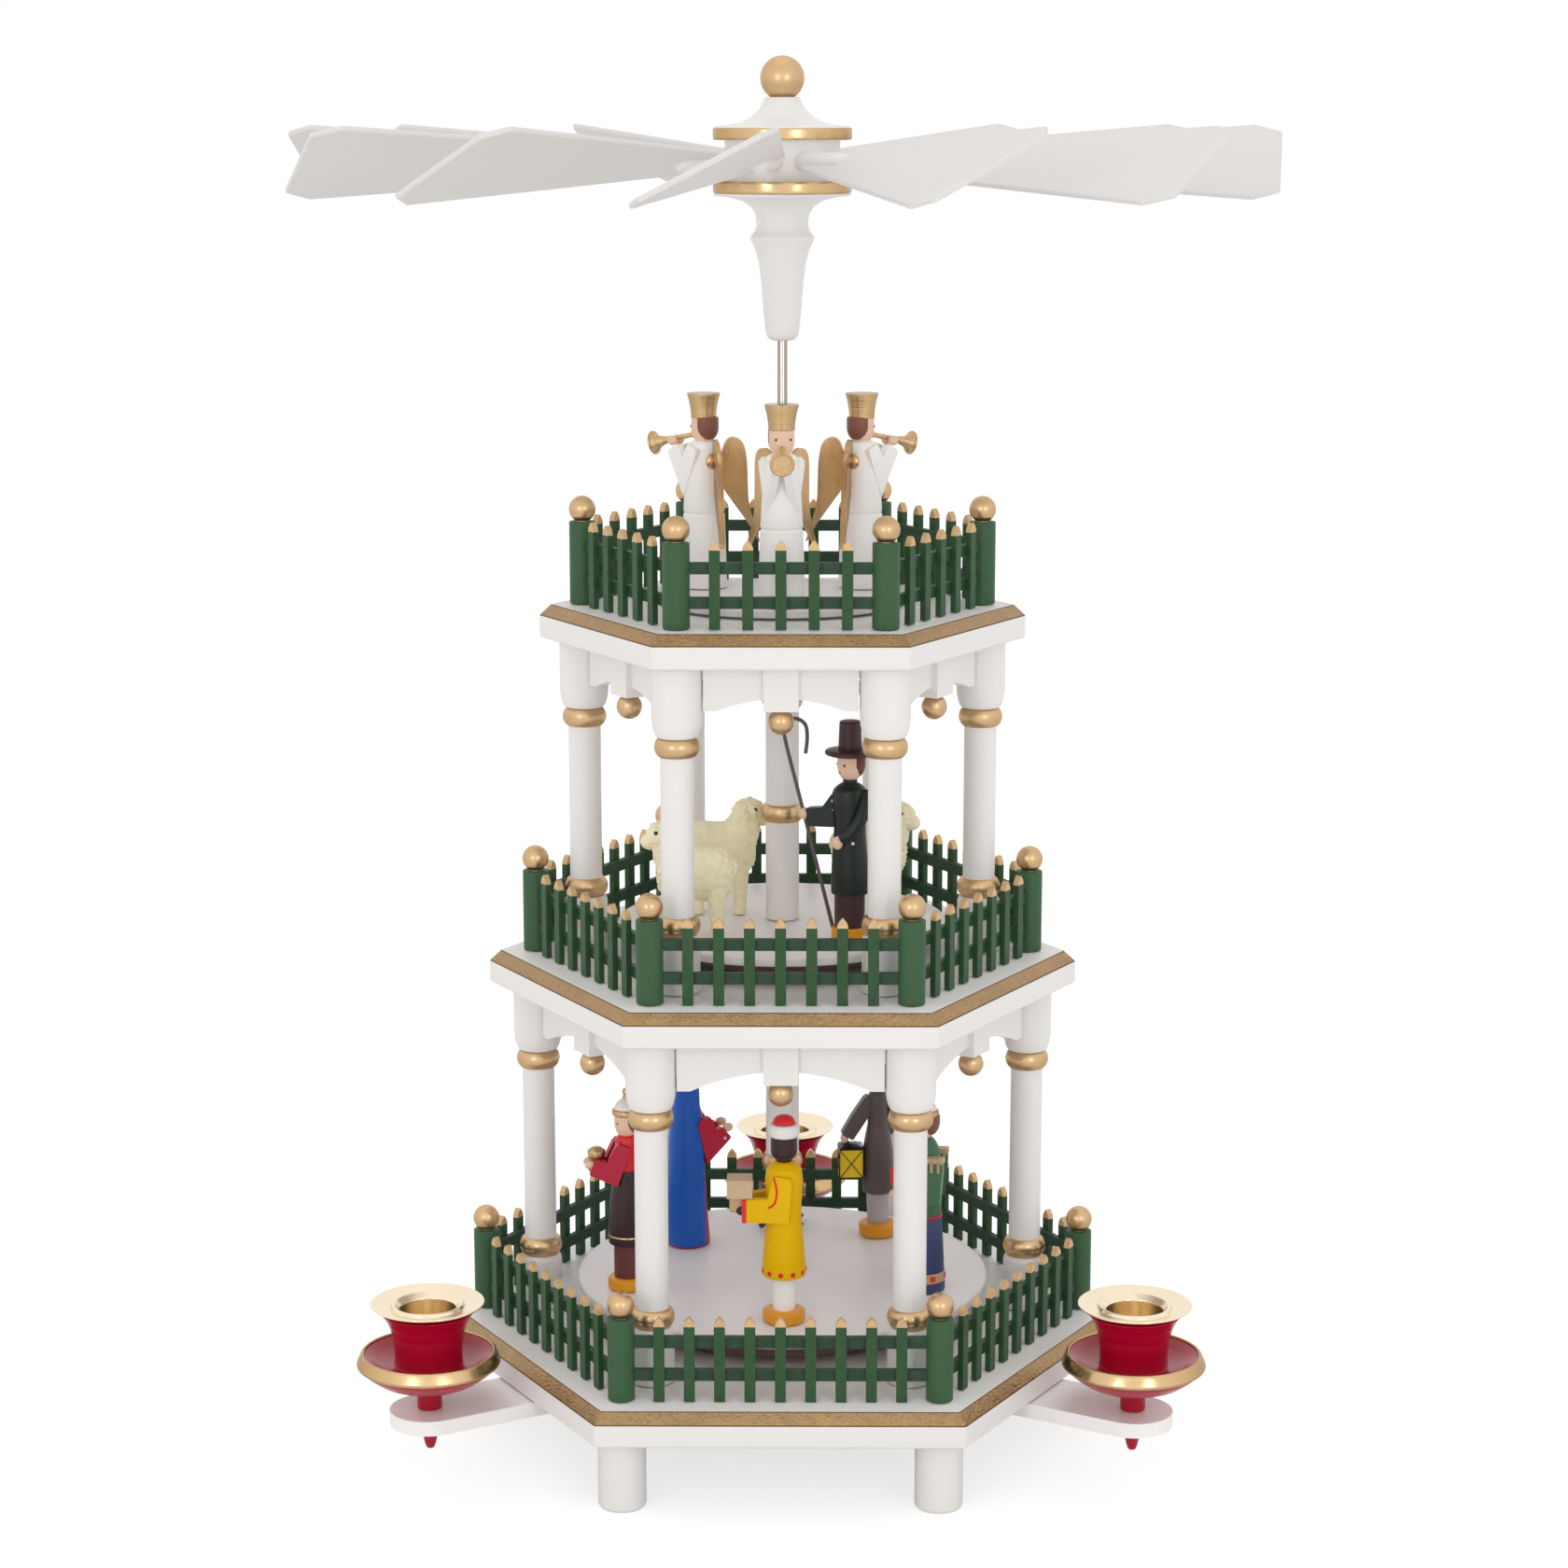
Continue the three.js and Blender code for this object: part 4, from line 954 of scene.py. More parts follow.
def arches(storey, node, circle, spring_drop):
    """The six arch panels under a plate, their pendant blocks and gold beads."""
    sizes = sizes_of_tower()
    under = top(node) - PLATE_THICKNESS
    apothem = circle * APOTHEM_SHARE
    half_chord = circle / 2 - sizes.capital_radius - 0.3
    place = moved(0, -apothem, under)
    panel = Form(place)
    panel.add(board(arch_outline(half_chord, spring_drop, 10, 4), 4, 0.3), "white")
    panel.add(block(10.5, 7.6, 13.8, (0, 0, -6.8), 0.35), "white")
    copied(f"{storey}_arches", panel, SIDES, "white", TOWER, (), "white_wood")
    bead = Form(place)
    bead.add(ball(3.9, (0, 0, -17.2), 28, 14), "gold")
    bead.add(lathe([(0, -14.2), (1.6, -14.2), (1.6, -13.4), (0, -13.4)], 16, 0.1), "gold")
    copied(f"{storey}_beads", bead, SIDES, "gold", TOWER)


class PYRAMID_OT_plates(bpy.types.Operator):
    """Makes the three gilded plates, the feet under the base and the arches under the upper two"""

    bl_idname = "pyramid.plates"
    bl_label = "Plates and Arches"

    def execute(self, context):
        sizes = sizes_of_tower()
        base_top = top("base_plate")
        plate("base_board", "base_plate", sizes.lower_circle + 14.9, 5.3)
        feet = Form()
        for index in (0, 2, 3, 5):
            foot = lathe([(0, 0), (7.3, 0), (7.3, base_top - 10.3), (0, base_top - 10.3)], 48, 1.6, 5)
            feet.add(foot, "white", on_circle(sizes.lower_circle, corner(index)))
        piece("feet", feet, TOWER, ("base_plate",))
        floor = lathe(
            [(0, base_top - 6.6), (5.6, base_top - 6.6), (5.6, base_top - 6.3), (0, base_top - 6.3)], 32, 0.1
        )
        piece("bearing_seat", Form().add(floor, "plate_white"), TOWER, ("base_plate",))
        for storey, circle, overhang, drop in (
            ("middle", sizes.middle_circle, 15.1, 16.0),
            ("top", sizes.upper_circle, 13.85, 13.8),
        ):
            node = f"{storey}_plate"
            plate(f"{storey}_board", node, circle + overhang, 7.3)
            arches(storey, node, circle, drop)
        return {"FINISHED"}


# Columns


class PYRAMID_OT_columns(bpy.types.Operator):
    """Makes the two storeys of turned columns and their gold rings"""

    bl_idname = "pyramid.columns"
    bl_label = "Columns"

    def execute(self, context):
        sizes = sizes_of_tower()
        for storey, circle in (("lower", sizes.middle_circle), ("upper", sizes.upper_circle)):
            nodes = [f"{storey}_column_{k + 1}" for k in range(SIDES)]
            bottom, height = level(nodes[0]), top(nodes[0]) - level(nodes[0])
            ring_height = sizes.ring_height
            low, high = 17.6, height - 21.5 - ring_height
            thin, wide = sizes.shaft_radius, sizes.capital_radius
            capital = high + ring_height
            profile = [
                (0, 0),
                (sizes.base_radius, 0),
                (sizes.base_radius, low - 1.2),
                (sizes.base_radius - 0.7, low),
                (thin, low + 0.2),
                (thin, capital - 0.2),
                (thin + 1.15, capital),
                (thin + 1.75, capital + 1.2),
                (wide - 0.25, capital + 3.2),
                (wide, capital + 5.6),
                (wide, height),
                (0, height),
            ]
            place = on_circle(circle, 0, bottom)
            white = Form(place)
            white.add(lathe(profile, 56, 0.8, 4), "white")
            copied(f"{storey}_columns", white, SIDES, "white", TOWER, nodes, "white_wood")
            rings = Form(place)
            for rise in (low, high):
                rings.add(torus_ring(sizes.ring_radius, thin, ring_height, rise, 56), "gold")
            copied(f"{storey}_column_rings", rings, SIDES, "gold", TOWER)
        return {"FINISHED"}


# Picket fences


class PYRAMID_OT_fences(bpy.types.Operator):
    """Makes the three picket fences: posts, balls, rails and slats with gold tips"""

    bl_idname = "pyramid.fences"
    bl_label = "Picket Fences"

    def execute(self, context):
        sizes = sizes_of_tower()
        for storey, circle, slats in (
            ("lower", sizes.lower_circle, 9),
            ("middle", sizes.middle_circle, 7),
            ("upper", sizes.upper_circle, 5),
        ):
            self.fence(storey, circle, slats, level(f"{storey}_fence"))
        return {"FINISHED"}

    def fence(self, storey, circle, slats, bottom):
        sizes = sizes_of_tower()
        node = f"{storey}_fence"
        place = on_circle(circle, 0, bottom)
        posts = Form(place)
        radius, ball_radius = sizes.post_radius, sizes.ball_radius
        post_top = top(node) - bottom - ball_radius * 1.9
        posts.add(lathe([(0, 0), (radius, 0), (radius, post_top), (0, post_top)], 40, 0.45), "post")
        copied(f"{storey}_posts", posts, SIDES, "post", TOWER, (node,), "green_wood")
        balls = Form(place)
        balls.add(ball(ball_radius, (0, 0, post_top + ball_radius * 0.9), 32, 18), "gold")
        balls.add(
            lathe(
                [(0, post_top - 0.5), (2.2, post_top - 0.5), (2.2, post_top + 0.7), (0, post_top + 0.7)],
                24,
                0.1,
            ),
            "gold",
        )
        copied(f"{storey}_post_balls", balls, SIDES, "gold", TOWER)
        apothem = circle * APOTHEM_SHARE
        rails = Form(moved(0, -apothem, bottom))
        for rise in (5.9, 16.2):
            rails.add(block(circle - 5, 2, 3.5, (0, 0, rise + 1.75), 0.3), "rail")
        copied(f"{storey}_rails", rails, SIDES, "rail", TOWER)
        half, tip_start = sizes.slat_width / 2, sizes.slat_height - sizes.slat_tip
        slat, tip = Form(), Form()
        slat.add(
            board(
                [(-half, 0), (half, 0), (half, tip_start), (-half, tip_start)], sizes.slat_thickness, 0.22, 1
            ),
            "slat",
        )
        point = [
            (-half - 0.03, tip_start - 0.1),
            (half + 0.03, tip_start - 0.1),
            (half * 0.88, tip_start + 0.9),
            (half * 0.6, tip_start + 1.7),
            (half * 0.28, tip_start + 2.3),
            (0, sizes.slat_height),
            (-half * 0.28, tip_start + 2.3),
            (-half * 0.6, tip_start + 1.7),
            (-half * 0.88, tip_start + 0.9),
        ]
        tip.add(board(point, sizes.slat_thickness + 0.06, 0.25, 1), "tip")
        values = {
            "Slats": slats,
            "Row Length": (circle - 22.8) * MM,
            "Distance": (apothem + 1 + sizes.slat_thickness / 2) * MM,
            "Level": bottom * MM,
            "Sides": SIDES,
        }
        for part, form, finish in (("slats", slat, "slat"), ("slat_tips", tip, "tip")):
            values["Finish"] = finished_in(finish)
            grown(f"{storey}_{part}", form, pickets_tree, "Pickets on every side", values, TOWER)


# Candle arms, holders and inserts


class PYRAMID_OT_candle_holders(bpy.types.Operator):
    """Makes the three flat arms, the red turned holders and their brass inserts"""

    bl_idname = "pyramid.candle_holders"
    bl_label = "Candle Holders"

    def execute(self, context):
        under, half = level("candle_arm_2"), 12.25
        end = [math.radians(180 + 180 * step / 24) for step in range(25)]
        rounded = [(half * math.cos(t), -CANDLE_CIRCLE + half * math.sin(t)) for t in end]
        points, faces = board([(half, -57.7), (-half, -57.7), *rounded], 4.6, 0.35)
        arm = Form().add(([(x, z, 2.3 - y + under) for x, y, z in points], faces), "arm_white_painted_light")
        spot = moved(0, -CANDLE_CIRCLE, level("candle_holder_2") + 13.4)
        sunk = moved(0, -CANDLE_CIRCLE, level("brass_insert_2") + 13)
        red = Form(spot).add(lathe(self.holder(), 72, 0.35), "red")
        rim = Form(spot).add(lathe(self.rim(), 72, 0.4, closed=True), "band")
        insert = Form(sunk).add(lathe(self.insert(), 72, 0.25), "brass")
        for name, form, finish, node, slot in (
            ("candle_arms", arm, "arm_white_painted_light", "candle_arm", "white_wood"),
            ("candle_holders", red, "red", "candle_holder", "red_wood"),
            ("holder_rims", rim, "band", None, None),
            ("brass_inserts", insert, "brass", "brass_insert", "brass"),
        ):
            nodes = [f"{node}_{k}" for k in (1, 2, 3)] if node else ()
            copied(name, form, 3, finish, TOWER, nodes, slot, start=60)
        return {"FINISHED"}

    def holder(self):
        dowel = [
            (0, -13.4), (1.2, -13.1), (1.75, -11.6), (2.35, -8.6), (2.5, -6), (2.5, 0), (3.85, 0), (3.85, 5.6)
        ]
        bowl = [(6, 6.2), (11, 7.3), (16, 9.6), (19.4, 12.1), (21.3, 14.3), (20.1, 17.4), (19.5, 17.5)]
        saucer = [*bowl, (16, 15.8), (13, 14.9), (10.4, 14.5)]
        cup = [
            (10.4, 19),
            (11, 24),
            (12.2, 27.6),
            (13.6, 30.2),
            (14.6, 31.2),
            (13.6, 31.5),
            (9.4, 31.5),
            (9.4, 18.2),
            (0, 18.2),
        ]
        return dowel + saucer + cup

    def rim(self):
        return [
            (21.2, 13.8), (21.9, 14.2), (22.0, 14.9), (20.7, 17.8), (20.1, 18.2), (19.6, 17.9), (19.8, 16)
        ]

    def insert(self):
        outside = [
            (0, -13), (9.1, -13), (9.1, -0.4), (10, 0), (14, 0.55), (17.2, 1.4), (17.4, 1.75), (17.2, 2.0)
        ]
        inside = [
            (14, 1.15),
            (11.4, 0.6),
            (11.1, 1.3),
            (10.8, 1.7),
            (10.2, 1.6),
            (9.3, 0.7),
            (8.5, 0),
            (8.5, -12.4),
            (0, -12.4),
        ]
        return outside + inside


# Spindle, sleeves and turntables


class PYRAMID_OT_spindle(bpy.types.Operator):
    """Makes the steel spindle, its brass bearing and the ringed white sleeves on it"""

    bl_idname = "pyramid.spindle"
    bl_label = "Spindle and Sleeves"

    def execute(self, context):
        low, high = level("steel_shaft"), top("steel_shaft")
        shaft = lathe([(0, low), (0.4, low + 0.3), (1.5, low + 2.5), (1.5, high), (0, high)], 24, 0.2)
        piece("spindle", Form().add(shaft, "steel"), ROTOR, ("steel_shaft",))
        seat, rim = level("spindle_bearing"), top("spindle_bearing")
        cup = [(0, seat), (5, seat), (5, rim), (2.8, rim), (0.5, rim - 2.7), (0, rim - 2.8)]
        piece("bearing_cup", Form().add(lathe(cup, 32, 0.25), "brass"), TOWER, ("spindle_bearing",))
        for storey, rise in (("lower", 36.4), ("upper", 34.3)):
            node = f"{storey}_sleeve"
            bottom, end = level(node), top(node)
            tube_line = [(1.8, bottom), (5.25, bottom), (5.25, end), (1.8, end)]
            form = Form().add(lathe(tube_line, 48, 0.35, closed=True), "white")
            for place in (rise, rise + 36.2):
                form.add(torus_ring(6.5, 5.25, 5.7, bottom + place - 2.85), "gold")
            piece(f"{storey}_ringed_sleeve", form, ROTOR, (node,))
        return {"FINISHED"}


class PYRAMID_OT_turntables(bpy.types.Operator):
    """Makes the three turntables: white discs, two of them on brown cores"""

    bl_idname = "pyramid.turntables"
    bl_label = "Turntables"

    def execute(self, context):
        edge = sizes_of_rotor().disc_edge
        for storey, radius, disc in (("lower", 66, 2.9), ("middle", 52, 2.9), ("upper", 38, 2.4)):
            node = f"{storey}_turntable"
            bottom, high = level(node), top(node)
            form = Form()
            disc_line = [(1.8, high - disc), (radius, high - disc), (radius, high), (1.8, high)]
            form.add(lathe(disc_line, 128, edge, 4, closed=True), "disc_white_painted_light")
            if high - bottom > disc + 1:
                core = radius - 13
                core_line = [(1.8, bottom), (core, bottom), (core, high - disc), (1.8, high - disc)]
                form.add(lathe(core_line, 96, 0.5, closed=True), "core")
            piece(f"{storey}_disc", form, ROTOR, (node,))
        return {"FINISHED"}


# Hub and vanes


class PYRAMID_OT_hub(bpy.types.Operator):
    """Makes the turned hub with its gold rings and the gold ball on top"""

    bl_idname = "pyramid.hub"
    bl_label = "Rotor Hub"

    def execute(self, context):
        bottom, peak = level("rotor_hub"), top("rotor_hub")
        form = Form(moved(0, 0, bottom))
        tail = [
            (1.8, 0),
            (2.9, 0),
            (4.2, 0.6),
            (4.9, 1.7),
            (5.25, 3.4),
            (5.8, 9),
            (6.5, 18),
            (7.2, 23.5),
            (8.4, 28),
            (9.7, 30.6),
        ]
        collar = [
            (9.8, 31.4),
            (8.4, 33),
            (7.9, 35),
            (8.1, 38),
            (9.4, 40.3),
            (12.2, 42.2),
            (17, 43.4),
            (20.7, 43.7),
            (20.9, 44.6),
        ]
        drum = [(19, 44.7), (17.5, 48), (17.5, 60.3), (20.9, 60.4), (20.9, 64.2), (20.6, 64.6)]
        cap = [(17, 64.9), (13, 65.6), (9.6, 67.2), (7, 69.6), (5.5, 72.4), (5.0, 73.2), (1.8, 73.2)]
        form.add(lathe(tail + collar + drum + cap, 96, 0.35, 3, closed=True), "white")
        for rise in (44.6, 60.5):
            band = [
                (17, rise),
                (20.9, rise),
                (21.15, rise + 0.5),
                (21.15, rise + 3.1),
                (20.9, rise + 3.6),
                (17, rise + 3.6),
            ]
            form.add(lathe(band, 96, 0.2, closed=True), "band")
        radius = 6.7
        form.add(ball(radius, (0, 0, peak - bottom - radius), 64, 32), "gold")
        for azimuth in (-64, 56, 176):
            form.add(ball(0.45, (0, -17.5, 51.4), 12, 8), "black", turned_by(azimuth + 90))
        piece("hub", form, ROTOR, ("rotor_hub",))
        return {"FINISHED"}


class PYRAMID_OT_vanes(bpy.types.Operator):
    """Grows the pitched vanes by their rule, each in the slot of a round dowel"""

    bl_idname = "pyramid.vanes"
    bl_label = "Vanes"

    def execute(self, context):
        sizes = sizes_of_rotor()
        low, high = millimetres("vane_1")
        middle = (low.z + high.z) / 2
        lengths = {
            "Root": sizes.vane_root,
            "Tip": sizes.vane_tip,
            "Root Width": sizes.vane_root_width,
            "Width": sizes.vane_width,
            "Tip Width": sizes.vane_tip_width,
            "Corner": sizes.vane_corner,
            "Thickness": sizes.vane_thickness,
            "Level": middle,
        }
        radius, end = sizes.dowel_radius, sizes.dowel_end
        for k in range(sizes.vane_count):
            azimuth = sizes.vane_turn + 2 * math.pi * k / sizes.vane_count
            values = {label: length * MM for label, length in lengths.items()}
            values |= {"Pitch": sizes.vane_pitch, "Azimuth": azimuth, "Finish": finished_in("vane_white_painted_shade")}
            node, body = f"vane_{k + 1}", f"vane_{k + 1}_body"
            seed = Form().add(block(1, 1, 1), "vane_white_painted_shade")
            grown(
                f"{node}_blade",
                seed,
                vane_tree,
                "Vane by rule",
                values,
                body,
                (node,),
                "white_wood",
                edge=0.3,
            )
            line = [
                (0, 12.9),
                (radius, 12.9),
                (radius, end - 3),
                (radius * 0.93, end - 1.4),
                (radius * 0.6, end - 0.3),
                (0, end),
            ]
            lying = moved(0, 0, middle) @ turned_by(math.degrees(azimuth)) @ turned_by(90, "Y")
            piece(
                f"{node}_dowel", Form(lying).add(lathe(line, 32, 0.5), "white"), body, (node,)
            )
        return {"FINISHED"}


# Figures, built facing the front and then placed on their turntables


def ribbon(path, widths):
    """The outline of a flat bent strip with rounded ends."""
    line = [Vector(point) for point in path]
    left, right = [], []
    for at, point in enumerate(line):
        half = widths[at] / 2
        before = (point - line[at - 1]).normalized() if at else (line[1] - point).normalized()
        after = (line[at + 1] - point).normalized() if at < len(line) - 1 else before
        across = (Vector((-before.y, before.x)) + Vector((-after.y, after.x))).normalized()
        across *= half / max(0.5, across.dot(Vector((-before.y, before.x))))
        left.append(point + across)
        right.append(point - across)
    first, last = (line[0] - line[1]).normalized(), (line[-1] - line[-2]).normalized()
    start = [line[0] + first * widths[0] * 0.3 + (side - line[0]) * 0.75 for side in (right[0], left[0])]
    end = [line[-1] + last * widths[-1] * 0.1 + (side - line[-1]) * 0.8 for side in (left[-1], right[-1])]
    return [tuple(p) for p in [*start, *left, *end, *reversed(right)]]


def arm_place(side, out, toe):
    """Where a flat arm hangs: beside the body, reaching forwards and turned inwards."""
    return moved(side * out, 0, 0) @ turned_by(-side * toe) @ turned_by(-90)


def sleeve(form, side, path, finish, out=5.2, toe=12, widths=(5, 5.2, 5.4), thickness=2.6):
    form.add(board(ribbon(path, widths), thickness, 0.55), finish, arm_place(side, out, toe))


def hand(form, side, at, finish="skin", out=5.2, toe=12, radius=1.75):
    form.add(ball(radius, (at[0], 0, at[1]), 20, 12, (1.15, 0.8, 0.9)), finish, arm_place(side, out, toe))


def head(form, chin, crown, turn=0.0, hair="hair", radius=3.85, eye=0.46, mouth=False):
    """A pale turned head on a thin neck, with hair painted behind and dots for its eyes."""
    look = turned_by(turn)
    profile = [
        (2.0, chin - 1.8),
        (2.0, chin - 0.2),
        (2.7, chin + 0.2),
        (3.5, chin + 1.6),
        (radius, chin + 3.2),
        (radius, crown),
    ]
    turned_line(form, profile, "skin", 0.6)
    behind = [
        (0, chin + 0.3),
        (2.4, chin + 0.5),
        (3.5, chin + 2),
        (radius + 0.1, chin + 3.6),
        (radius + 0.1, crown),
        (0, crown),
    ]
    form.add(lathe(behind, 40, 0.6), hair, look @ moved(0, 0.9, 0))
    height, spread = chin + (crown - chin) * 0.6, 2.15
    depth = -math.sqrt(radius**2 - spread**2)
    for side in (-1, 1):
        form.add(ball(eye, (side * spread, depth, height), 12, 8, (1, 0.35, 1)), "black", look)
    if mouth:
        form.add(ball(0.6, (0, -radius * 0.93, chin + 2.1), 12, 8, (1.1, 0.3, 0.6)), "scarlet", look)


def dots(form, count, radius, height, size, finish):
    for k in range(count):
        turn = turned_by(360 * (k + 0.5) / count)
        form.add(ball(size, (0, -radius, height), 14, 8, (1, 0.35, 1)), finish, turn)


def base_and_legs(form, finish, base=6.3, legs=3.7, base_height=3.6):
    form.add(
        lathe(
            [(0, 0), (base, 0), (base, base_height), (legs, base_height + 0.3), (0, base_height + 0.3)],
            48,
            0.9,
            4,
        ),
        "orange",
    )
    form.add(lathe([(0, base_height), (legs, base_height), (legs, 15.4), (0, 15.4)], 40, 0.2), finish)


def turned_line(form, profile, finish, reach=0.5, count=56):
    """A turned shape whose profile is closed on its axis at both ends."""
    line = [(0, profile[0][1]), *profile, (0, profile[-1][1])]
    form.add(lathe(line, count, reach, 4), finish)


def figure(name, form):
    return piece(name, form, ROTOR, (name,))


# Circle, azimuth and facing of each figure: where its CAD node stands, since it replaces that node
FIGURES = {
    "king_with_box": (48, -89, 180),
    "king_in_red": (52.2, 200, 190),
    "king_in_green": (48.5, -22, 170),
    "woman_in_blue_cloak": (41, 140, 20),
    "man_with_lantern": (47.5, 48.6, 100),
    "manger": (45, 91, 90),
    "sheep_1": (39, 226, 180),
    "sheep_2": (21.5, 158, 0),
    "sheep_3": (28.6, 12, -20),
    "shepherd": (35.6, -54, -110),
    "angel_1": (28.5, -90, -90),
    "angel_2": (28.5, 30, 30),
    "angel_3": (28.5, 150, 150),
}


def standing(name):
    """An empty form at the place of a figure: its circle, azimuth and facing, on its own turntable."""
    circle, azimuth, facing = FIGURES[name]
    turn = math.radians(azimuth)
    return Form(moved(circle * math.cos(turn), circle * math.sin(turn), level(name)) @ turned_by(facing + 90))


class PYRAMID_OT_kings(bpy.types.Operator):
    """Makes the three kings with their gifts"""

    bl_idname = "pyramid.kings"
    bl_label = "Kings"

    def execute(self, context):
        self.king_with_box()
        self.king_in_red()
        self.king_in_green()
        return {"FINISHED"}

    def king_with_box(self):
        form = standing("king_with_box")
        base_and_legs(form, "robe_white_painted_light", 6.6, 3.5)
        robe = [
            (6.85, 14.8),
            (6.85, 16.4),
            (6.2, 24),
            (5.4, 33.5),
            (5.4, 38),
            (5.9, 45),
            (5.4, 49),
            (3.2, 51),
            (2.1, 51.4),
        ]
        turned_line(form, robe, "yellow", 0.8)
        dots(form, 11, 6.76, 16.6, 0.85, "scarlet")
        turned_line(
            form, [(2.1, 50.8), (2.6, 52), (3.9, 53.2), (4.15, 55.2), (4.05, 59.8)], "dark_brown", 0.9
        )
        turned_line(form, [(4.4, 59.2), (4.8, 59.9), (4.8, 62.2), (4.3, 63.2)], "white", 0.5)
        turned_line(form, [(3.5, 62.8), (3.5, 63.8), (2.7, 65.3), (0.9, 65.9)], "scarlet", 0.8)
        for side in (-1, 1):
            sleeve(form, side, [(0.3, 46), (1.6, 37), (11.6, 36.4)], "yellow", 5.6, 12, (6, 7.6, 7.2))
            form.add(block(1.4, 3.1, 7.4, (12.2, 0, 36.4), 0.3), "scarlet", arm_place(side, 5.6, 12))
            hand(form, side, (13.2, 36.2), "dark_brown", 5.6, 12, 1.7)
            seam = [
                (2.9, side * 1.4, 48.0),
                (1.9, side * 1.4, 43.6),
                (2.6, side * 1.4, 39.6),
                (4.6, side * 1.4, 38.0),
            ]
            form.add(tube(curve_through(seam, 10), 0.3, 8), "scarlet", arm_place(side, 5.6, 12))
        form.add(block(6.4, 6.2, 4.8, (0, -13.6, 38.4), 0.4), "tan")
        form.add(block(8.0, 7.8, 5.8, (0, -13.6, 43.1), 0.9), "box_wood")
        form.add(block(5.6, 5.4, 0.6, (0, -13.6, 36), 0.15), "dark_brown")
        figure("king_with_box", form)

    def king_in_red(self):
        form = standing("king_in_red")
        base_and_legs(form, "red_brown", 6.3, 4.3)
        turned_line(
            form,
            [(5.9, 14.8), (6.0, 16.4), (5.8, 24), (5.2, 31), (4.3, 37.2), (3.9, 39.4)],
            "dark_brown",
            0.6,
        )
        turned_line(form, [(5.98, 17.4), (6.08, 17.7), (5.98, 18.0)], "leaf", 0.05)
        turned_line(form, [(3.9, 39.0), (3.8, 44), (3.7, 48), (3, 50), (2.1, 50.4)], "scarlet", 0.6)
        self.crowned_head(form)
        for side in (-1, 1):
            sleeve(form, side, [(1.8, 46.6), (5.0, 38.6), (10.8, 41.0)], "crimson", 3.9, 8, (5, 6, 5.6))
            hand(form, side, (12.0, 41.6), "skin", 3.9, 8, 1.5)
        gift = [(0, 41), (2.0, 41), (1.6, 42.4), (2.7, 44), (2.9, 45.6), (1.4, 46.8), (0, 47)]
        form.add(lathe(gift, 32, 0.3), "leaf", moved(0, -9.6, 0))
        figure("king_in_red", form)

    def crowned_head(self, form):
        """A pale face under a white hat with a gold ring and a small gold knob."""
        head(form, 50.6, 57.4)
        turned_line(form, [(4.3, 57), (4.5, 57.4), (4.5, 58.6), (4.1, 59)], "leaf", 0.4)
        turned_line(form, [(4.0, 58.8), (3.4, 60.4), (2.0, 61.8), (0.9, 62.4)], "white", 0.5)
        turned_line(form, [(0.9, 62), (1.3, 62.8), (0.8, 63.6)], "leaf", 0.2)
        form.add(ball(1.3, (0, 0, 64.4), 24, 14), "leaf")

    def king_in_green(self):
        """This king's skirt reaches the ground and has a tan band with red studs."""
        form = standing("king_in_green")
        skirt = [(6.8, 0), (6.9, 1), (6.6, 6), (5.7, 24.2)]
        turned_line(form, skirt, "navy", 0.4)
        turned_line(form, [(6.82, 3.3), (6.9, 3.5), (6.82, 6.2), (6.7, 6.4)], "tan", 0.1)
        for k in range(7):
            stud = turned_by(360 * k / 7 + 20)
            form.add(block(1.7, 0.5, 1.7, (0, -6.8, 4.9), 0.12), "scarlet", stud)
        turned_line(form, [(5.72, 24), (5.8, 24.5), (5.7, 25)], "crimson", 0.1)
        jacket = [(5.6, 24.8), (5.6, 32), (5.2, 41), (4.9, 46), (3.4, 49), (2.1, 50.2)]
        turned_line(form, jacket, "king_green", 0.7)
        self.crowned_head(form)
        for side in (-1, 1):
            path = [(-3.2, 42.4), (-2.6, 33), (7.6, 32.6)]
            sleeve(form, side, path, "king_green", 5.2, 6, (7.4, 7, 5.4), 3)
            place = arm_place(side, 5.2, 6)
            form.add(block(7.6, 3.3, 1.5, (-3.2, 0, 44.2), 0.35), "tan", place)
            for x in (-5.6, -3.4, -1.2):
                form.add(block(0.8, 3.3, 3.6, (x, 0, 42.2), 0.2), "tan", place)
            hand(form, side, (8.6, 32), "skin", 5.2, 6)
        form.add(block(5.6, 5.6, 5.2, (0, -7.6, 36.8), 0.4), "scarlet")
        form.add(
            lathe([(0, 39.2), (2.6, 39.2), (0.5, 45.4), (0, 45.6)], 32, 0.2), "king_green", moved(0, -7.2, 0)
        )
        figure("king_in_green", form)


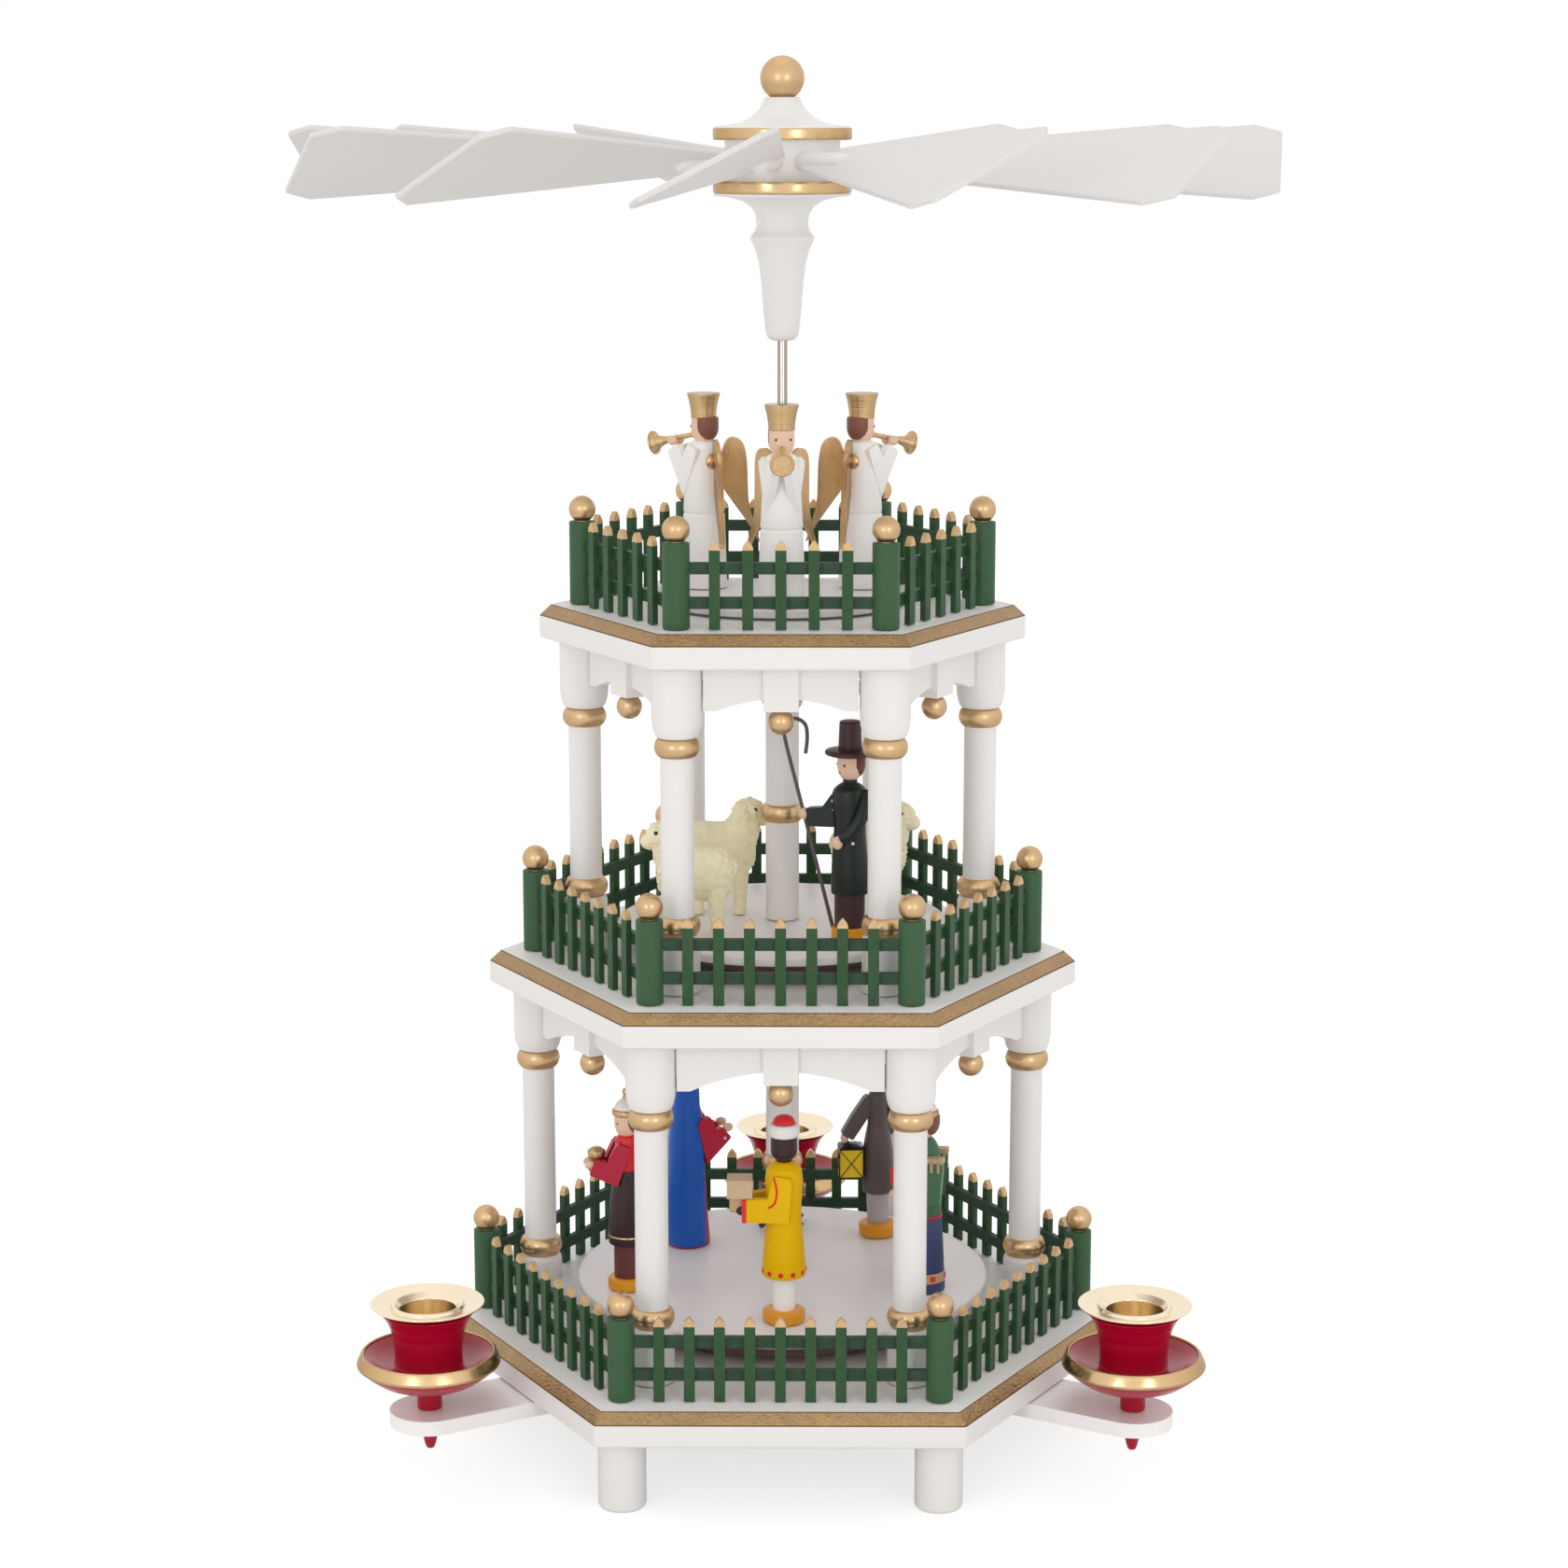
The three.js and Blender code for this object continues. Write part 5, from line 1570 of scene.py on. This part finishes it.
class PYRAMID_OT_holy_family(bpy.types.Operator):
    """Makes the cloaked woman, the man with the lantern and the manger"""

    bl_idname = "pyramid.holy_family"
    bl_label = "Family and Manger"

    def execute(self, context):
        self.woman()
        self.lantern_man()
        self.manger()
        return {"FINISHED"}

    def woman(self):
        form = standing("woman_in_blue_cloak")
        dress = [(7.2, 0), (7.3, 1.2), (6.6, 10), (5.8, 24), (5.2, 36), (5.0, 44), (3.4, 48.4), (2.1, 49.6)]
        turned_line(form, dress, "crimson", 0.6)
        head(form, 49.8, 56.6)
        cloak = [
            (7.4, 0.5),
            (7.2, 4),
            (6.9, 20),
            (6.4, 36),
            (5.6, 43),
            (4.9, 48),
            (4.6, 55),
            (3.4, 57.6),
            (0.6, 58.3),
        ]
        form.add(self.open_shell(cloak, 52), "blue")
        for side in (-1, 1):
            sleeve(form, side, [(4.4, 41.6), (6.6, 33.4), (11.6, 37.6)], "crimson", 4.9, 6, (5.4, 6.2, 5.2))
            form.add(ball(0.5, (11.2, side * 1.35, 36), 12, 8), "white", arm_place(side, 4.9, 6))
            hand(form, side, (12.8, 39.2), "skin", 4.9, 6, 1.6)
        figure("woman_in_blue_cloak", form)

    def open_shell(self, profile, gap):
        """A turned cloak that is open at the front by a gap in degrees."""
        inner = [(max(radius - 0.7, 0.05), height) for radius, height in reversed(profile)]
        line = eased([*profile, *inner], 0.25, 2, closed=True)
        sections = []
        for k in range(49):
            turn = math.radians(-90 + gap + (360 - 2 * gap) * k / 48)
            sections.append([(r * math.cos(turn), r * math.sin(turn), z) for r, z in line])
        return loft(sections)

    def lantern_man(self):
        form = standing("man_with_lantern")
        base_and_legs(form, "pale_grey", 6.2, 3.5, 4.2)
        turned_line(form, [(3.3, 4), (3.5, 8), (3.9, 15.2)], "pale_grey", 0.4)
        coat = [
            (5.0, 14.8),
            (5.2, 16),
            (5.3, 24),
            (5.1, 29),
            (4.3, 34),
            (3.5, 38),
            (3.5, 45),
            (3.2, 48.4),
            (2.1, 49.8),
        ]
        turned_line(form, coat, "grey", 0.6)
        head(form, 49.8, 57.4)
        form.add(lathe([(0, 57), (3.9, 57), (2.9, 58.2), (0, 58.6)], 40, 0.5), "hair")
        form.add(board(ribbon([(3.0, 46), (7.0, 40), (10.4, 34.6)], (4.8, 5, 4.6)), 3, 0.7), "grey")
        sleeve(form, -1, [(0, 44.6), (1.4, 36.4), (5.6, 31.4)], "grey", 3.9, 24, (4.6, 5, 4.6))
        hand(form, -1, (6.6, 30.4), "skin", 3.9, 24)
        form.add(ball(1.5, (11.3, 0, 33.6), 20, 12, (0.9, 0.9, 1.2)), "skin")
        spot = moved(9.2, 0, 0) @ turned_by(-6)
        form.add(block(7.8, 7.8, 9.8, (0, 0, 25.7), 0.15), "lantern", spot)
        self.lantern_bars(form, spot)
        roof = [(0, 30.4), (5.7, 30.4), (5.7, 30.9), (2.6, 31.9), (0, 32)]
        form.add(lathe(roof, 4, 0), "black", spot @ turned_by(45))
        form.add(tube([(0.6, 0, 31.6), (1.6, 0, 32.8)], 0.5, 8), "black", spot)
        form.add(ball(0.45, (1.2, -1.5, 33), 12, 8), "white", spot)
        figure("man_with_lantern", form)

    def lantern_bars(self, form, spot):
        """Thin black posts, floor and crossed bars on the four panes."""
        form.add(block(8.1, 8.1, 0.4, (0, 0, 20.9), 0.1), "black", spot)
        for k in range(4):
            side = spot @ turned_by(90 * k)
            form.add(block(0.3, 0.3, 9.6, (3.9, -3.9, 25.7), 0.08), "black", side)
            for lean in (-1, 1):
                line = [(-3.6 * lean, -3.92, 21.2), (3.6 * lean, -3.92, 30.2)]
                form.add(tube(line, 0.17, 6), "black", side)

    def manger(self):
        form = standing("manger")
        for side in (-1, 1):
            wall = [(side * 2.4, 6.6), (side * 6.6, 12.9), (side * 7.6, 12.9), (side * 3.2, 6.2)]
            form.add(board(wall, 11.6, 0.2), "straw")
            for end in (-1, 1):
                y = end * 4.7 + side * 0.45
                path = [(side * 7.0, y, 0.5), (-side * 5.4, y, 11.8)]
                form.add(tube(path, 0.95, 8), "straw")
        form.add(block(5.4, 11.4, 1.0, (0, 0, 6.7), 0.2), "straw")
        form.add(ball(1, (0, 0, 9.6), 32, 14, (5.2, 5.4, 2.2)), "leaf")
        figure("manger", form)


class PYRAMID_OT_flock(bpy.types.Operator):
    """Makes the shepherd with his crook and the three carved sheep"""

    bl_idname = "pyramid.flock"
    bl_label = "Shepherd and Sheep"

    def execute(self, context):
        self.shepherd()
        for k in (1, 2, 3):
            self.sheep(f"sheep_{k}")
        return {"FINISHED"}

    def shepherd(self):
        form = standing("shepherd")
        base_and_legs(form, "trousers", 5.6, 4.7, 4.0)
        coat = [
            (5.7, 14.6),
            (5.8, 15.6),
            (5.6, 24),
            (5.0, 33),
            (4.9, 37),
            (5.6, 44),
            (5.2, 47.2),
            (3.4, 48.8),
            (2.1, 49.4),
        ]
        turned_line(form, coat, "coat", 0.8)
        turned_line(form, [(2.2, 48.8), (2.25, 50.4), (2.0, 50.6)], "black", 0.2)
        turn = -42
        head(form, 50.6, 58, turn, "red_brown", 3.9, 0.5, mouth=True)
        turned_line(
            form,
            [(3.4, 58.2), (6.4, 57.7), (7.7, 58.2), (7.85, 58.9), (7.4, 59.5), (3.7, 59.9)],
            "trousers",
            0.4,
        )
        turned_line(form, [(3.7, 59.4), (3.4, 66.6), (3.35, 68), (2.9, 68.5)], "trousers", 0.4)
        look = turned_by(turn - 18)
        for rise, radius in ((46.0, 5.4), (43.7, 5.6), (40.8, 5.3)):
            form.add(ball(0.45, (0, -radius, rise), 12, 8, (1, 0.5, 1)), "white", look)
        form.add(
            tube([(0.9, -5.45, 46.8), (1.1, -5.4, 40.5), (1.2, -4.95, 36), (1.2, -5.6, 16)], 0.16, 6),
            "black",
            look,
        )
        outwards = turned_by(180)
        form.add(
            board(ribbon([(2.6, 45.2), (6.8, 38.2), (13.2, 37.8)], (5.2, 6.2, 5.8)), 3, 0.8), "coat", outwards
        )
        form.add(ball(1.9, (-14.8, 0, 38.6), 20, 12), "skin")
        form.add(tube(self.crook(), 0.6, 10), "grey")
        self.folded_arm(form)
        figure("shepherd", form)

    def folded_arm(self, form):
        """The round near sleeve that hangs before the coat and ends in a hand, over a white button."""
        line = [(5.0, -0.4, 47), (5.7, -2.6, 43), (4.8, -5.0, 38.4), (1.6, -6.5, 34.2), (-0.4, -6.7, 32.8)]
        path = curve_through(line, 14)
        form.add(
            tube(path, [1.6, 1.9, 2.0, 2.05, 2.1, 2.1, 2.1, 2.0, 2.0, 1.9, 1.9, 1.8, 1.8, 1.7, 1.5], 20),
            "coat",
        )
        form.add(ball(1.75, (-1.6, -6.9, 31.6), 20, 12, (0.95, 0.8, 1.2)), "skin")
        form.add(ball(0.55, (2.8, -5.3, 31.4), 12, 8, (1, 0.5, 1)), "white")

    def crook(self):
        def along(height):
            return -15 - 0.27 * (height - 38.5)

        middle = along(64) + 4.2
        points = [
            (along(2.5), 0, 2.5),
            (-15, 0, 38.5),
            (along(62), 0, 62),
            (middle - 3.3, 0, 66.6),
            (middle, 0, 68.0),
            (middle + 3.0, 0, 66.4),
            (middle + 3.7, 0, 62.6),
            (middle + 3.2, 0, 57.4),
        ]
        return curve_through(points, 44)

    def sheep(self, name):
        """A deep-bodied woolly sheep with its head raised on a thick neck."""
        form = standing(name)
        middle = 20.7
        outline = [
            (0, -11.4),
            (4.4, -11),
            (7.6, -9.2),
            (8.6, -5.4),
            (8.5, 0),
            (8.9, 5),
            (8.2, 9.4),
            (5.6, 11.9),
            (0, 12.4),
        ]
        lying = moved(0, 0, middle) @ turned_by(-90, "X") @ Matrix.Diagonal((0.76, 1.0, 1, 1))
        self.wool(form, lathe(outline, 44, 2.2, 5), lying)
        neck = curve_through([(0, -5.4, middle + 3), (0, -7.4, middle + 7.4), (0, -8.6, middle + 11)], 8)
        self.wool(form, tube(neck, [6.4, 6.5, 6.4, 6.2, 5.9, 5.6, 5.3, 5.0, 4.7], 28, 0.86), moved())
        self.wool(form, ball(1, (0, -9.2, middle + 11.6), 32, 20, (4.4, 5.4, 4.8)), moved())
        form.add(ball(1, (0, -13.4, middle + 9.9), 24, 14, (2.5, 3.0, 2.6)), "wool")
        for side in (-1, 1):
            ear = moved(side * 3.9, -8.4, middle + 12.4) @ turned_by(side * 118, "Y")
            form.add(ball(1, (0, 0, 1.3), 16, 10, (0.8, 1.5, 2.4)), "wool", ear)
            form.add(ball(0.62, (side * 3.6, -11.4, middle + 13.2), 12, 8), "black")
            for y in (-6.4, 7.2):
                leg = [(side * 3.0, y, 0.25), (side * 3.0, y, 6), (side * 3.0, y, middle - 4)]
                form.add(tube(leg, [2.0, 2.2, 3.2], 20), "wool")
        self.wool(form, ball(1, (0, 12.2, middle + 1.4), 20, 12, (1.8, 1.6, 3)), moved())
        figure(name, form)

    def wool(self, form, shape, place):
        """Uneven curls pressed into a smooth shape, the same each time."""
        points, faces = shape
        centre = sum((Vector(point) for point in points), Vector()) / len(points)
        curled = []
        for point in points:
            here = Vector(point)
            swell = math.sin(here.x * 1.9 + here.z * 1.3) * math.sin(here.y * 2.1 - here.x * 0.7) * math.sin(
                here.z * 1.7 + 0.8
            )
            curled.append(here + (here - centre).normalized() * swell * 0.6)
        form.add((curled, faces), "wool", place)


class PYRAMID_OT_angels(bpy.types.Operator):
    """Makes the three angels with trumpets, gold crowns and leaf wings"""

    bl_idname = "pyramid.angels"
    bl_label = "Angels"

    def execute(self, context):
        for k in (1, 2, 3):
            self.angel(f"angel_{k}")
        return {"FINISHED"}

    def angel(self, name):
        form = standing(name)
        peak = top(name) - level(name) - 2.6
        hat, shoulder = peak - 7.8, peak - 15.4
        turned_line(form, [(7.0, 0), (7.2, 0.5), (6.5, 23.2)], "robe_white_painted_light", 0.4)
        turned_line(form, [(6.25, 23), (6.25, 23.8)], "robe_white_painted_light", 0.1)
        bodice = [(6.5, 23.6), (5.8, 36), (5.4, shoulder - 2), (4.4, shoulder), (2.1, shoulder + 0.8)]
        turned_line(form, bodice, "robe_white_painted_light", 0.8)
        head(form, shoulder + 0.4, hat + 0.4, 10 if name.endswith("1") else 0)
        flare = [(3.95, hat), (4.05, hat + 2.2), (4.5, hat + 5), (5.1, peak - 0.6), (5.2, peak)]
        turned_line(form, flare, "crown", 0.3, 64)
        self.trumpet(form, shoulder + 2.4)
        for side in (-1, 1):
            path = [(0.6, shoulder - 2.4), (4.6, shoulder - 10.6), (9.6, shoulder - 2.2)]
            sleeve(form, side, path, "robe_white_painted_light", 5.2, 18, (5, 6, 5))
            hand(form, side, (11.0, shoulder + 0.2), "skin", 5.2, 18, 1.7)
            self.wing(form, side, shoulder)
        figure(name, form)

    def trumpet(self, form, height):
        """A long tube from the mouth to a flared bell, sloping a little down."""
        start, end = Vector((0, -3.2, height)), Vector((0.3, -18.2, height - 3.4))
        shares = (0, 0.05, 0.1, 0.5, 0.7, 0.82, 0.9, 0.96, 1.0)
        radii = (0.9, 1.1, 0.75, 0.9, 1.15, 1.6, 2.2, 2.95, 3.6)
        run = end - start
        form.add(tube([start + run * share for share in shares], list(radii), 28), "bell")
        turn = run.to_track_quat("Z", "Y").to_matrix().to_4x4()
        rim = [(2.9, -0.5), (3.6, -0.4), (3.75, 0), (3.5, 0.25), (2.9, 0.1)]
        form.add(lathe(rim, 28, 0.1, closed=True), "leaf", Matrix.Translation(end) @ turn)

    def wing(self, form, side, shoulder):
        """A thin curved leaf with a round top and a pointed low tip, fixed by a small gold button."""
        upper = [
            (0, -3),
            (1.2, 0.8),
            (3, 2.6),
            (5.4, 2.4),
            (7.2, 0.4),
            (8.0, -3.4),
            (8.3, -8),
            (8.4, -13),
            (8.8, -18),
        ]
        lower = [
            (10.4, -24),
            (12.4, -30.4),
            (9.2, -25),
            (6.2, -20.8),
            (3.4, -17),
            (1.0, -13.6),
            (-0.3, -9),
            (-0.5, -5.6),
        ]
        line = [(x, 0, z) for x, z in [*upper, *lower, upper[0]]]
        outline = [(v.x, v.z) for v in curve_through(line, 64)][:-1]
        points, faces = board(outline, 1.5, 0.45)
        bowed = [(x, y + side * 0.016 * (x - 6) ** 2 - side * 0.004 * (z + 12) ** 2 + side, z) for x, y, z in points]
        place = turned_by(-side * 32) @ moved(0, 5.2, shoulder - 1.2) @ turned_by(90 - side * 12)
        form.add((bowed, faces), "leaf", place)
        form.add(ball(1.5, (0.2, 0, -4.4), 20, 12, (0.8, 1.3, 1.6)), "leaf", place)


# The stage


class PYRAMID_OT_stage(bpy.types.Operator):
    """Sets the floor, the soft lamps, the white background and the camera"""

    bl_idname = "pyramid.stage"
    bl_label = "Stage"

    def execute(self, context):
        scene = context.scene
        settings = scene.pyramid_stage
        self.floor(settings)
        self.background(scene, settings)
        for azimuth, height, power, width in (
            (-66, 0.5, settings.key_power, 0.2),
            (-114, 0.5, settings.key_power, 0.2),
            (90, 1.9, settings.top_power, 1.2),
        ):
            self.lamp(azimuth, height, power, width)
        camera = bpy.data.objects.new("Camera", bpy.data.cameras.new("Camera"))
        scene.collection.objects.link(camera)
        camera.location = CAMERA_PLACE
        camera.rotation_euler = (math.radians(90 - CAMERA_DOWN), 0, math.radians(CAMERA_TURN))
        camera.data.lens = CAMERA_LENS
        camera.data.sensor_width = CAMERA_SENSOR
        scene.camera = camera
        scene.view_settings.view_transform = "Standard"
        return {"FINISHED"}

    def lamp(self, azimuth, height, power, width):
        """A soft box that looks at the middle of the tower."""
        data = bpy.data.lights.new("Soft box", "AREA")
        data.shape = "RECTANGLE"
        data.size, data.size_y = width, width * 1.5
        data.energy = power
        made = bpy.data.objects.new("Soft box", data)
        bpy.context.scene.collection.objects.link(made)
        turn = math.radians(azimuth)
        reach = 1.3 if height < 1 else 0.5
        made.location = (reach * math.cos(turn), reach * math.sin(turn), height)
        made.rotation_euler = (Vector((0, 0, 0.2)) - made.location).to_track_quat("-Z", "Y").to_euler()

    def floor(self, settings):
        mesh = bpy.data.meshes.new("Floor")
        points, faces = loft([ring(3.0, 0, 64)])
        mesh.from_pydata(points, [], faces[1:])
        made = bpy.data.objects.new("Floor", mesh)
        bpy.context.scene.collection.objects.link(made)
        material = bpy.data.materials.new("Floor")
        material.use_nodes = True
        material.node_tree.nodes.clear()
        wire = Wiring(material.node_tree)
        diffuse = wire.node("ShaderNodeBsdfDiffuse", {"Color": linear(settings.floor)})
        glow = wire.node("ShaderNodeEmission", {"Strength": 1.42})
        seen = wire.times(wire.node("ShaderNodeLightPath").outputs["Is Camera Ray"], settings.floor_glow)
        mixed = wire.node("ShaderNodeMixShader", {0: seen, 1: diffuse.outputs[0], 2: glow.outputs[0]})
        wire.node("ShaderNodeOutputMaterial", {"Surface": mixed.outputs[0]})
        mesh.materials.append(material)

    def background(self, scene, settings):
        """White behind the object and in its reflections, and an even light from all round."""
        world = bpy.data.worlds.new("White")
        scene.world = world
        world.use_nodes = True
        world.node_tree.nodes.clear()
        wire = Wiring(world.node_tree)
        rays = wire.node("ShaderNodeLightPath").outputs
        seen = wire.math("MAXIMUM", rays["Is Camera Ray"], rays["Is Transmission Ray"])
        seen = wire.math("MAXIMUM", seen, rays["Is Glossy Ray"])
        strength = wire.math("MULTIPLY_ADD", seen, 1.0 - settings.sky, settings.sky)
        back = wire.node("ShaderNodeBackground", {"Color": (1, 1, 1, 1), "Strength": strength})
        wire.node("ShaderNodeOutputWorld", {"Surface": back.outputs[0]})


OPERATORS = [
    PYRAMID_OT_plates,
    PYRAMID_OT_columns,
    PYRAMID_OT_fences,
    PYRAMID_OT_candle_holders,
    PYRAMID_OT_spindle,
    PYRAMID_OT_turntables,
    PYRAMID_OT_hub,
    PYRAMID_OT_vanes,
    PYRAMID_OT_kings,
    PYRAMID_OT_holy_family,
    PYRAMID_OT_flock,
    PYRAMID_OT_angels,
    PYRAMID_OT_stage,
]
SETTINGS = {
    "pyramid_tower": TowerSizes,
    "pyramid_rotor": RotorSizes,
    "pyramid_paints": Paints,
    "pyramid_stage": StageSettings,
}


class PYRAMID_PT_panel(bpy.types.Panel):
    """Lists the pieces of the pyramid in the order in which they are made"""

    bl_idname = "PYRAMID_PT_panel"
    bl_label = "Christmas Pyramid"
    bl_space_type = "VIEW_3D"
    bl_region_type = "UI"
    bl_category = "Pyramid"

    def draw(self, context):
        for operator in OPERATORS:
            self.layout.operator(operator.bl_idname)


def register():
    for made in (*SETTINGS.values(), *OPERATORS, PYRAMID_PT_panel):
        bpy.utils.register_class(made)
    for name, settings in SETTINGS.items():
        setattr(bpy.types.Scene, name, PointerProperty(type=settings))


def unregister():
    for name in SETTINGS:
        delattr(bpy.types.Scene, name)
    for made in reversed((*SETTINGS.values(), *OPERATORS, PYRAMID_PT_panel)):
        bpy.utils.unregister_class(made)


def main():
    """Makes every piece in order."""
    register()
    for operator in OPERATORS:
        family, action = operator.bl_idname.split(".")
        getattr(getattr(bpy.ops, family), action)()


if __name__ == "__main__":
    main()
